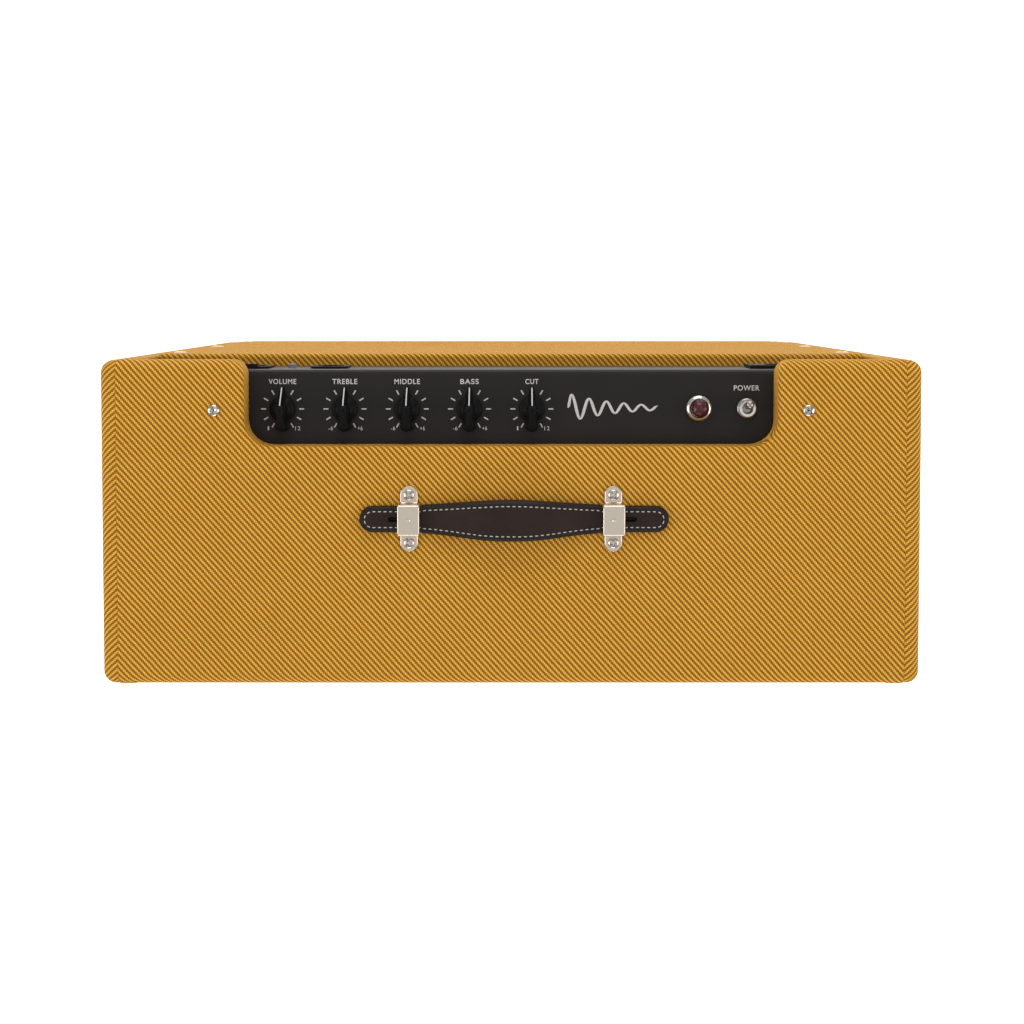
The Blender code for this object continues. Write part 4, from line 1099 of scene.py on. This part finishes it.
def handle_cap(hand):
    """A strip of plated sheet bent over the strap: rounded ears, a raised bridge and a centre-punch dimple.

    The strip's half width is the chord of a circle on the ears and grows to the bridge's by a smoothstep.
    Its edges sink by a square law, and the dimple is a gaussian pit with a faint gaussian rim.
    """
    low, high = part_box(f"handle_cap_{hand}")
    centre = (low + high) / 2
    reach = (high.y - low.y) / 2
    roof = high.z - TOP_Z
    ear, lift = 5.4 * MM, 1.7 * MM
    wall_foot, wall_head = 9.9 * MM, 9.45 * MM
    right = [(wall_head, roof), (wall_foot, lift), (reach, lift)]
    corners = [(-y, z) for y, z in right[::-1]] + right
    path = refined(folded_path(corners, [0.7 * MM, 1.5 * MM, 1.5 * MM, 0.7 * MM]), 0.55 * MM)
    past = np.maximum(np.abs(path[:, 0]) - (reach - ear), 0)
    half = np.sqrt(np.clip(ear**2 - past**2, (0.15 * ear) ** 2, None))
    climb = smoothstep((path[:, 1] - lift - 0.3 * MM) / (1.4 * MM))
    half = half + (width_of(f"handle_cap_{hand}") / 2 - ear) * climb
    normal = unit(left_of(np.gradient(path, axis=0)))[:, None]
    x = half[:, None] * np.sin(np.linspace(-QUARTER, QUARTER, 33))
    away = half[:, None] - np.abs(x)
    sink = 0.45 * MM * (1 - np.clip(away / (0.7 * MM), 0, 1)) ** 2
    y = path[:, :1] - normal[..., 0] * sink
    z = path[:, 1:] - normal[..., 1] * sink
    distance = np.hypot(x, y)
    pit = 0.75 * MM * np.exp(-((distance / (0.8 * MM)) ** 2))
    rim = 0.12 * MM * np.exp(-(((distance - 1.7 * MM) / (0.45 * MM)) ** 2))
    z = z - (pit - rim) * (path[:, 1:] > roof - 0.5 * MM)
    points = np.stack([centre.x + x, centre.y + y, TOP_Z + z], -1)
    obj = shape(f"handle_cap_sheet_{hand}", points, [quads(*x.shape)], "nickel", angle=60, weld=False)
    if obj.data.polygons[0].normal.z < 0:
        obj.data.flip_normals()
    sheet = obj.modifiers.new("sheet_thickness", "SOLIDIFY")
    sheet.thickness = 1.25 * MM
    sheet.offset = -1
    rides(obj, "root", "nickel_plate", f"handle_cap_{hand}")


def phillips(radius, dome, rim, turn):
    """A cross-recessed pan head, standing on z = 0: rings of a dome with a cross sunk into it.

    The dome is rim + dome * sqrt(1 - (r / 1.04 radius)^2). The cross is where the smaller of |x| and |y| is
    below a fifth of the radius and the larger is below two thirds of it, and it gets shallower outwards.
    """
    around = 72
    share = np.concatenate([np.linspace(0, 0.66, 15), np.linspace(0.7, 1, 9)])
    r = (share * radius)[:, None]
    a = circle(around)
    x, y = r * np.cos(a), r * np.sin(a)
    height = rim + dome * np.sqrt(np.clip(1 - (r / (radius * 1.04)) ** 2, 0, 1)) + 0 * x
    across = np.minimum(np.abs(x), np.abs(y))
    reach = np.maximum(np.abs(x), np.abs(y))
    arm = smoothstep((0.2 * radius - across) / (0.05 * radius))
    arm = arm * smoothstep((0.64 * radius - reach) / (0.1 * radius))
    height = height - arm * (0.7 - 0.45 * reach / radius) * radius
    c, s = math.cos(turn), math.sin(turn)
    top = np.stack([x * c - y * s, x * s + y * c, height], -1)
    points = np.concatenate([top, top[-1:] * (1, 1, 0)])
    return points, ring_faces(len(points), around)


def screw(name, node, axis, sizes, seat, turn):
    """A cross-recessed screw whose head sits on seat, the distance of its seat along the axis."""
    radius, dome, rim = sizes
    centre = middle(node)
    direction = Vector(axis)
    place = facing(axis, centre - direction * centre.dot(direction) + direction * seat)
    fitted(name, phillips(radius, dome, rim, turn), "bright", "nickel_plate", node, place=place, angle=35)


def screws():
    """The screws of the handle and the top, and the back panel's screws in their cup washers."""
    up, back = (0, 0, 1), (0, 1, 0)
    turns = (0.3, 0.9, 0.15, 0.62, 1.2, 0.45)
    for i in range(4):
        sizes = (3.35 * MM, 1.5 * MM, 0.6 * MM)
        screw(f"handle_screw_head_{i + 1}", f"handle_screw_{i + 1}", up, sizes, TOP_Z + 1.6 * MM, turns[i])
    for i, (_, hand) in enumerate(HANDS):
        sizes = (3.55 * MM, 1.6 * MM, 0.7 * MM)
        screw(f"top_screw_{hand}", f"chassis_screw_{hand}", up, sizes, TOP_Z, turns[i + 2])
    rear = BACK_HIGH.y
    for i in range(6):
        node = f"back_screw_{i + 1}"
        spot = middle(node)
        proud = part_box(node)[1].y - rear
        radii = np.array([0, 4.6, 4.6, 3.9, 2.4, 0]) * MM
        washer = lathe(radii, np.array([0, 0, 0.1, 0.35, 0.4, 0.4]) * proud, 40)
        place = facing(back, Vector((spot.x, rear, spot.z)))
        fitted(f"cup_washer_{i + 1}", washer, "nickel", "nickel_plate", place=place, angle=35)
        sizes = (3.2 * MM, proud * 0.4, 0.1 * MM)
        screw(f"back_screw_head_{i + 1}", node, back, sizes, rear + proud * 0.35, turns[i])


class AMPLIFIER_OT_handle(bpy.types.Operator):
    """Stitched strap, its two nickel caps and every visible screw"""

    bl_idname = "amplifier.handle"
    bl_label = "Handle and screws"

    def execute(self, context):
        strap()
        for _, hand in HANDS:
            handle_cap(hand)
        screws()
        return {"FINISHED"}


# ---------------------------------------------------------------- controls
def pointer_body():
    """A pointer knob's body as cross sections along its length, tip towards +Y.

    Each section is a superellipse arch: x = half * sign(cos) * |cos|^0.42, z = height * sin^0.42, with the
    half width going from its base value to its top value as z rises. The beak slopes down to the tip, and
    the heel closes in a quarter circle. Sizes are in millimetres.
    """
    heel = -13.9 + 3.2 * (1 - np.cos(np.linspace(0, QUARTER, 9)))
    y = np.concatenate([heel, np.linspace(-10, 2.0, 16), np.linspace(2.5, 13.9, 20)])
    knots = [-14, -10.7, -6, -2, 1.8, 2.8, 6, 10, 13.9]
    base = np.interp(y, knots, [4.3, 4.5, 3.6, 4.2, 4.2, 4.0, 3.1, 1.9, 0.8])
    top = np.interp(y, knots, [3.4, 3.6, 2.6, 2.9, 2.8, 0.75, 0.62, 0.5, 0.42])
    high = np.interp(y, knots, [8.7, 9.6, 11.2, 12.6, 13.0, 12.3, 9.6, 5.6, 1.7])
    past = np.clip((-10.7 - y) / 3.2, 0, 1)
    closing = np.sqrt(np.clip(1 - past**2, 0.0004, 1))
    base, top = base * closing, top * closing
    high = high * (1 - 0.25 * past**3)
    a = np.linspace(0, math.pi, 33)
    cos, sin = np.cos(a), np.clip(np.sin(a), 0, 1)
    z_share = sin ** 0.42
    x_share = np.sign(cos) * np.abs(cos) ** 0.42
    half = base[:, None] + (top - base)[:, None] * z_share
    points = np.stack([half * x_share, y[:, None] + 0 * half, high[:, None] * z_share], -1)
    return (points * MM, ring_faces(*half.shape)), y * MM, high * MM


def knob(name):
    """A pointer knob on its skirt, with a white line down the beak and a set screw in the top."""
    x, y, _ = JOINTS[f"{name}_turn"]["pos_m"]
    node = f"knob_{name}"
    where = {"body": f"knob_{name}_turning", "place": Matrix.Translation((x, y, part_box(node)[0].z))}
    radii = np.array([0, 7.6, 8.0, 8.0, 7.5, 6.6, 5.9, 5.0, 4.0, 0]) * MM
    heights = np.array([0, 0, 0.4, 1.7, 2.5, 2.8, 3.6, 4.7, 5.2, 5.2]) * MM
    skirt = lathe(radii, heights, 56)
    fitted(f"knob_skirt_{name}", skirt, "phenolic", "black_phenolic", node, angle=50, **where)
    pointer, along, high = pointer_body()
    fitted(f"knob_pointer_{name}", pointer, "phenolic", "black_phenolic", angle=50, **where)
    line_y = np.linspace(2.9 * MM, 13.5 * MM, 14)[:, None]
    section = np.array([(-0.38, -0.25), (-0.38, 0.05), (0, 0.14), (0.38, 0.05), (0.38, -0.25)]) * MM
    u, rise = section.T
    line = np.stack([u + 0 * line_y, line_y + 0 * u, np.interp(line_y, along, high) + rise], -1)
    line = (line, ring_faces(*line.shape[:2]))
    fitted(f"knob_line_{name}", line, "white", "black_phenolic", angle=50, **where)
    radii = np.array([0, 0.75, 0.75, 1.25, 1.35, 0]) * MM
    hole = lathe(radii, np.array([12.4, 12.4, 13.05, 13.05, 12.7, 11.9]) * MM, 24)
    fitted(f"knob_set_screw_{name}", hole, "phenolic", "black_phenolic", angle=30, **where)


def lamp():
    """A turned bezel and a glass jewel cut in rows of facets.

    The jewel's rows are rings of twelve corners, given as (share of the radius, share of the height, how
    many half steps the ring is turned); where the turn changes the facets are triangles.
    """
    centre = middle("lamp_bezel")
    place = Matrix.Translation((centre.x, centre.y, PANEL_Z))
    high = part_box("lamp_bezel")[1].z - PANEL_Z
    radii = np.array([0, 1, 1, 0.97, 0.90, 0.82, 0.75, 0.70, 0.675, 0.665, 0]) * width_of("lamp_bezel") / 2
    bezel = lathe(radii, np.array([0, 0, 0.6, 0.72, 0.85, 0.96, 1, 0.96, 0.85, 0.4, 0.4]) * high, 72)
    fitted("lamp_bezel_turned", bezel, "bright", "nickel_plate", "lamp_bezel", place=place, angle=30)
    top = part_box("lamp_jewel")[1].z - PANEL_Z
    gem = width_of("lamp_jewel") / 2 * 0.985
    rows = ((1.0, 0.45, 0), (1.0, 0.66, 0), (0.93, 0.77, 1), (0.76, 0.88, 0), (0.50, 0.96, 1), (0.22, 1.0, 0))
    share, rise, odd = np.array(rows).T[..., None]
    sides = 12
    angle = circle(sides) + odd * math.pi / sides
    points = np.stack([gem * share * np.cos(angle), gem * share * np.sin(angle), top * rise + 0 * angle], -1)
    triangles = []
    for k in range(len(rows) - 1):
        low = np.arange(sides) + k * sides
        far = (np.arange(sides) + 1) % sides + k * sides
        up, up_far = low + sides, far + sides
        if rows[k + 1][2] > rows[k][2]:
            pair = ((low, far, up), (far, up_far, up))
        else:
            pair = ((low, far, up_far), (low, up_far, up))
        triangles += [np.stack(corners, -1) for corners in pair]
    last = (len(rows) - 1) * sides
    faces = [*triangles, [list(range(sides))[::-1]], [list(range(last, last + sides))]]
    fitted("lamp_jewel_cut", (points, faces), "jewel", "ruby_jewel", "lamp_jewel", place=place, angle=8)


def toggle():
    """A dress nut, a threaded bushing and a bat lever leaning back, with a round end."""
    centre = middle("toggle_nut")
    place = Matrix.Translation((centre.x, centre.y, PANEL_Z))
    radii = (0, 1, 1, 0.95, 0.86, 0.78, 0.72, 0.64, 0.61, 0.58, 0.54, 0.49, 0.44, 0.40, 0)
    heights = (0.1, 0.1, 1.6, 2.3, 2.75, 2.85, 1.3, 1.2, 3.0, 4.6, 4.9, 4.8, 3.6, 2.0, 2.0)
    nut = lathe(np.array(radii) * width_of("toggle_nut") / 2, np.array(heights) * MM, 64)
    # The nut and the lever take the darker nickel copy, whose colour is painted shade for their darker
    # reflections.
    fitted("toggle_dress_nut", nut, "wear_and_shade", "nickel_plate", "toggle_nut", place=place, angle=30)
    pivot = Vector(JOINTS["power_toggle"]["pos_m"])
    tilt, tip = math.radians(11), 2.72 * MM
    reach = (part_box("toggle_lever")[1].z - pivot.z) / math.cos(tilt) * 0.995
    s = np.linspace(0, 1, 26)
    radius = np.interp(s, [0, 0.2, 0.45, 0.7, 0.84, 1], [1.3, 1.35, 1.6, 2.25, 2.7, 2.72]) * MM
    height = s * (reach - tip) + 1.5 * MM * (1 - s)
    cap = np.linspace(0, QUARTER, 9)[1:]
    radii = np.concatenate([[0], radius, tip * np.cos(cap)])
    heights = np.concatenate([height[:1], height, reach - tip + tip * np.sin(cap)])
    aim = facing((0, math.sin(tilt), math.cos(tilt)), pivot)
    lever = {"body": "power_lever", "place": aim, "angle": 40}
    fitted("toggle_bat", lathe(radii, heights, 40), "wear_and_shade", "nickel_plate", "toggle_lever", **lever)


def lettering(name, words, place, cap_height, width, weight=0.0, facing_rear=False):
    """Words as thin ink, centred on place, read from above with +Y up, or from behind.

    The text is made a mesh, stretched to its height and width, and extruded inwards by the ink's depth.
    """
    curve = bpy.data.curves.new(name, "FONT")
    curve.body = words
    curve.align_x = "CENTER"
    curve.align_y = "CENTER"
    curve.size = 1.0
    curve.offset = weight
    curve.extrude = 0.0
    curve.space_character = 1.12
    made = bpy.data.objects.new(name, curve)
    bpy.context.scene.collection.objects.link(made)
    bpy.context.view_layer.update()
    flat = bpy.data.meshes.new_from_object(made)
    bpy.data.objects.remove(made)
    points = read(flat.vertices, "co")
    low, high = points.min(0), points.max(0)
    points = (points - (low + high) / 2) * (width / (high[0] - low[0]), cap_height / (high[1] - low[1]), 0)
    if facing_rear:
        points = points[:, [0, 2, 1]] * (-1, 1, 1)
    write(flat.vertices, "co", points + np.array(place))
    flat.update()
    work = bmesh.new()
    work.from_mesh(flat)
    bmesh.ops.remove_doubles(work, verts=work.verts, dist=1e-6)
    work.normal_update()
    up = Vector((0, 1, 0)) if facing_rear else Vector((0, 0, 1))
    turned = [face for face in work.faces if face.normal.dot(up) < 0]
    bmesh.ops.reverse_faces(work, faces=turned)
    ink = bmesh.ops.extrude_face_region(work, geom=work.faces[:])
    raised = [item for item in ink["geom"] if isinstance(item, bmesh.types.BMVert)]
    bmesh.ops.translate(work, verts=raised, vec=-up * INK_DEPTH)
    bmesh.ops.recalc_face_normals(work, faces=work.faces)
    work.to_mesh(flat)
    work.free()
    return rides(settle(name, flat, "ink", 30), "root", "black_satin_steel")


def ink_bars(centre, angles, near, far, thick):
    """Radial marks round a knob as thin blocks."""
    x, y, z = centre
    u, v = np.array([(near, -thick / 2), (far, -thick / 2), (far, thick / 2), (near, thick / 2)]).T
    blocks = []
    for angle in angles:
        c, s = math.cos(angle), math.sin(angle)
        flat = [x + u * c - v * s, y + u * s + v * c]
        block = np.stack([np.stack([*flat, np.full(4, level)], -1) for level in (z, z + INK)])
        blocks.append((block, ring_faces(2, 4)))
    return joined(blocks)


def flourish():
    """A fading sine wave, drawn with a stroke that swells and thins, on the free part of the panel.

    The swing falls as exp(-1.9 t) and the stroke is widest where the wave crosses its middle line.
    """
    t = np.linspace(0, 1, 260)
    x = (35 + 57 * t) * MM
    swing = 9 * MM * np.exp(-1.9 * t) * smoothstep(t / 0.04)
    phase = 2 * math.pi * 5.25 * t
    y = 86.6 * MM + swing * np.sin(phase)
    middle_line = np.stack([x, y], -1)
    side = unit(left_of(np.gradient(middle_line, axis=0)))
    half = (0.48 + 0.45 * np.abs(np.cos(phase)) * (1 - 0.5 * t)) * MM
    half = half * smoothstep(t / 0.02) * smoothstep((1 - t) / 0.05) + 0.03 * MM
    left, right = middle_line + side * half[:, None], middle_line - side * half[:, None]
    rise = (0, INK, INK, 0)
    edges = zip((left, left, right, right), rise)
    ring = np.stack([np.column_stack([edge, np.full(len(t), PANEL_Z + up)]) for edge, up in edges], 1)
    fitted("panel_wave", (ring, ring_faces(len(t), 4)), "ink", "black_satin_steel", angle=30)


def panel_print():
    """Names, end numbers and scales round the knobs, and the word at the switch."""
    marks = []
    top = PANEL_Z + INK
    weight = 0.012
    widths = {"volume": 17.2, "treble": 15.6, "middle": 15.9, "bass": 11.5, "cut": 8.2}
    angles = [math.radians(90 - step) for step in range(-150, 151, 30)]
    for name in KNOBS:
        x, y, _ = JOINTS[f"{name}_turn"]["pos_m"]
        marks.append(ink_bars((x, y, PANEL_Z), angles, 10.3 * MM, 13.4 * MM, 0.8 * MM))
        spot = (x, y + 17.1 * MM, top)
        lettering(f"label_{name}", name.upper(), spot, 3.2 * MM, widths[name] * MM, weight)
        ends = (("1", 0.9), ("12", 3.2)) if name in ("volume", "cut") else (("-6", 2.7), ("+6", 3.0))
        for (text, wide), end, offset in zip(ends, ("low", "high"), (-8.9, 9.4)):
            spot = (x + offset * MM, y - 12.1 * MM, top)
            lettering(f"scale_{name}_{end}", text, spot, 2.5 * MM, wide * MM)
    fitted("knob_scales", joined(marks), "ink", "black_satin_steel", angle=30)
    x = JOINTS["power_toggle"]["pos_m"][0]
    lettering("label_power", "POWER", (x, 99 * MM, top), 3.3 * MM, 16 * MM, weight)
    flourish()


class AMPLIFIER_OT_controls(bpy.types.Operator):
    """Pointer knobs, lamp, power switch and the panel's printed scales"""

    bl_idname = "amplifier.controls"
    bl_label = "Controls"

    def execute(self, context):
        for name in KNOBS:
            knob(name)
        lamp()
        toggle()
        panel_print()
        return {"FINISHED"}


# ---------------------------------------------------------------- front, feet and back
def grille():
    """The stretched grille cloth: a thin closed sheet that leans with the front."""
    low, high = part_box("grille_cloth")
    columns, rows = 61, 53
    thickness = 0.8 * MM
    slant = math.hypot(1, lean())
    z = np.linspace(low.z, high.z, rows)[:, None]
    x, z = np.broadcast_arrays(np.linspace(low.x, high.x, columns), z)
    outer = np.stack([x, low.y + (z - low.z) * lean(), z], -1)
    points = [outer, outer + np.array([0, thickness, 0])]
    surface = np.stack([x, z * slant], -1)
    count = rows * columns
    grid = quads(rows, columns)
    number = np.arange(count).reshape(rows, columns)
    border = np.concatenate([number[0], number[1:, -1], number[-1, -2::-1], number[-2:0:-1, 0]])
    ahead = np.roll(border, -1)
    rim = np.stack([border, ahead, ahead + count, border + count], -1)
    faces = [grid, (grid + count)[:, ::-1], rim]
    obj = shape("grille_cloth_woven", points, faces, "grille", [surface, surface], weld=False)
    rides(obj, "root", "woven_grille_cloth", "grille_cloth")


def feet():
    """Tapered rubber feet with a sunk washer: a profile from the hole outwards and up the side."""
    for end in ("front", "rear"):
        for _, hand in HANDS:
            node = f"foot_{end}_{hand}"
            low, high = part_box(node)
            r = (high.x - low.x) / 2
            radii = [0, 4.2 * MM, 5.0 * MM, 5.2 * MM, 5.6 * MM]
            radii += [share * r for share in (0.80, 0.86, 0.9, 0.985, 1, 0.99, 0)]
            heights = [3.4 * MM, 3.4 * MM, 2.6 * MM, 0.3 * MM, 0, 0, 0.5 * MM, 1.8 * MM]
            heights += [high.z - drop * MM for drop in (1.6, 0.6, 0, 0)]
            spot = middle(node)
            place = Matrix.Translation((spot.x, spot.y, low.z))
            foot = lathe(radii, heights, 56)
            fitted(f"rubber_foot_{end}_{hand}", foot, "rubber", "black_rubber", node, place=place)


def pins(name, node, places, radius, depth, proud):
    """Contacts standing in a connector, seen from behind. Sizes are in millimetres."""
    centre = middle(node)
    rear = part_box(node)[1].y - (proud + depth) * MM
    heights = np.array([0, 0, depth - radius, depth, depth]) * MM
    pin = lathe(np.array([0, 1, 1, 0.6, 0]) * radius * MM, heights, 16)
    blocks = []
    for x, z in places:
        spot = Vector((centre.x + x * MM, rear, centre.z + z * MM))
        blocks.append((moved(pin[0], facing((0, 1, 0), spot)), pin[1]))
    fitted(name, joined(blocks), "nickel", "nickel_plate")


def rear_details():
    """Contacts in the connectors and small words beside them."""
    pins("line_out_pins", "line_out_jack", [(0, 3.6), (-3.4, -2.2), (3.4, -2.2)], 1.2, 9, 3)
    pins("inlet_pins", "mains_inlet", [(0, 2.2), (-6.9, -1.8), (6.9, -1.8)], 1.5, 10, 4)
    rear = CHASSIS_HIGH.y + INK_DEPTH
    below = CHASSIS_LOW.z + 9 * MM
    above_button = middle("ground_lift_button").z + 8 * MM
    words = (
        ("INPUT", "input_jack", 14, below),
        ("LINE OUT", "line_out_jack", 20, below),
        ("LIFT", "ground_lift_button", 9, above_button),
        ("AC IN", "mains_inlet", 14, below),
    )
    for text, node, wide, z in words:
        spot = (middle(node).x, rear, z)
        lettering(f"rear_label_{node}", text, spot, 2.6 * MM, wide * MM, 0.015, facing_rear=True)


CARRIED = {
    "chassis": "enamel",
    "chassis_cover": "enamel",
    "power_module": "board",
    "control_board": "board",
    "speaker_frame": "enamel",
    "speaker_motor": "sheet",
    "speaker_cone": "paper",
    "speaker_surround": "rubber",
    "speaker_lead": "rubber",
    "mains_inlet": "nylon",
    "line_out_jack": "nylon",
    "input_jack": "nylon",
    "ground_lift_button": "grey",
    "toggle_body": "sheet",
    "baffle_board": "wood",
    "back_batten_left": "wood",
    "back_batten_right": "wood",
    **{f"pot_shaft_{name}": "sheet" for name in KNOBS},
}


def carried_nodes():
    """Gives every frame node that stays in sight its finish."""
    for node, finish in CARRIED.items():
        for slot in frame["nodes"][node].material_slots:
            slot.link = "OBJECT"
            slot.material = finish_for(finish)


class AMPLIFIER_OT_body(bpy.types.Operator):
    """Grille cloth, feet, rear connectors, and finishes for the frame's own parts"""

    bl_idname = "amplifier.body"
    bl_label = "Grille, feet and back"

    def execute(self, context):
        grille()
        feet()
        rear_details()
        carried_nodes()
        return {"FINISHED"}


# ---------------------------------------------------------------- stage
class AMPLIFIER_OT_stage(bpy.types.Operator):
    """Pale floor, soft studio light and the camera above the back edge"""

    bl_idname = "amplifier.stage"
    bl_label = "Stage"

    def execute(self, context):
        look = context.scene.amplifier_stage
        size = 60.0
        white_light = (1.0, 1.0, 1.0)
        bpy.ops.mesh.primitive_plane_add(size=size)
        floor = context.object
        floor.name = "floor"
        ground = Finish("pale_floor", base_color=(0.9, 0.9, 0.9), roughness=0.9)
        ground.set("Emission Color", white_light).set("Emission Strength", 0.62)
        floor.data.materials.append(ground.material)
        bpy.ops.mesh.primitive_uv_sphere_add(radius=size / 2.2)
        backdrop = context.object
        backdrop.name = "backdrop"
        white = Finish("white_backdrop", base_color=(0.0, 0.0, 0.0), roughness=1.0, specular_ior_level=0.0)
        white.set("Emission Color", white_light).set("Emission Strength", 1.0)
        backdrop.data.materials.append(white.material)
        for ray in ("diffuse", "glossy", "transmission", "volume_scatter", "shadow"):
            setattr(backdrop, f"visible_{ray}", False)
        world = bpy.data.worlds.new("studio")
        world.use_nodes = True
        world.node_tree.nodes["Background"].inputs["Color"].default_value = (1, 1, 1, 1)
        world.node_tree.nodes["Background"].inputs["Strength"].default_value = look.sky
        context.scene.world = world
        lamps = (
            ("overhead", (0.0, 0.2, 2.7), 3.0, 11),
            ("left_bank", (-2.4, -0.2, 1.9), 1.6, 27),
            ("right_bank", (2.4, -0.2, 1.9), 1.6, 24),
            ("rear_bank", (0.0, 2.7, 1.5), 2.0, 34),
            ("front_bank", (0.0, -2.8, 1.3), 2.0, 26),
        )
        for name, place, width, power in lamps:
            data = bpy.data.lights.new(name, "AREA")
            data.shape = "SQUARE"
            data.size = width
            data.energy = power
            lamp = bpy.data.objects.new(name, data)
            lamp.location = place
            aim = Vector((0, 0, 0.3)) - Vector(place)
            lamp.rotation_euler = aim.to_track_quat("-Z", "Y").to_euler()
            context.scene.collection.objects.link(lamp)
        context.scene.view_settings.view_transform = "Standard"
        data = bpy.data.cameras.new("view_from_above")
        data.lens = look.lens
        data.sensor_width = 36
        data.shift_y = look.shift
        data.clip_start = 0.01
        camera = bpy.data.objects.new("view_from_above", data)
        full_shift = -0.207
        tilt = math.atan((look.shift - full_shift) * data.sensor_width / look.lens)
        camera.location = (0.0005, 153.7 * MM, TOP_Z + look.height)
        camera.rotation_euler = (-tilt, 0, 0)
        context.scene.collection.objects.link(camera)
        context.scene.camera = camera
        return {"FINISHED"}


SETTINGS = {
    "amplifier_cabinet": CabinetSettings,
    "amplifier_tweed": TweedSettings,
    "amplifier_leather": LeatherSettings,
    "amplifier_strap": StrapSettings,
    "amplifier_stage": StageSettings,
}
OPERATORS = (
    AMPLIFIER_OT_stage,
    AMPLIFIER_OT_covering,
    AMPLIFIER_OT_handle,
    AMPLIFIER_OT_controls,
    AMPLIFIER_OT_body,
)


class AMPLIFIER_PT_panel(bpy.types.Panel):
    """Lists the amplifier's settings and the groups of pieces"""

    bl_idname = "AMPLIFIER_PT_panel"
    bl_label = "Tweed Combo Amplifier"
    bl_space_type = "VIEW_3D"
    bl_region_type = "UI"
    bl_category = "Amplifier"

    def draw(self, context):
        for name in SETTINGS:
            box = self.layout.box()
            group = getattr(context.scene, name)
            for key in group.bl_rna.properties.keys():
                if key not in ("rna_type", "name"):
                    box.prop(group, key)
        for operator in OPERATORS:
            self.layout.operator(operator.bl_idname)


def register():
    for kind in (*SETTINGS.values(), *OPERATORS, AMPLIFIER_PT_panel):
        bpy.utils.register_class(kind)
    for name, kind in SETTINGS.items():
        setattr(bpy.types.Scene, name, bpy.props.PointerProperty(type=kind))


def unregister():
    for name in SETTINGS:
        delattr(bpy.types.Scene, name)
    for kind in (AMPLIFIER_PT_panel, *reversed(OPERATORS), *SETTINGS.values()):
        bpy.utils.unregister_class(kind)


def main():
    """Makes every group of pieces in order."""
    register()
    for operator in OPERATORS:
        group, action = operator.bl_idname.split(".")
        getattr(getattr(bpy.ops, group), action)()


if __name__ == "__main__":
    main()
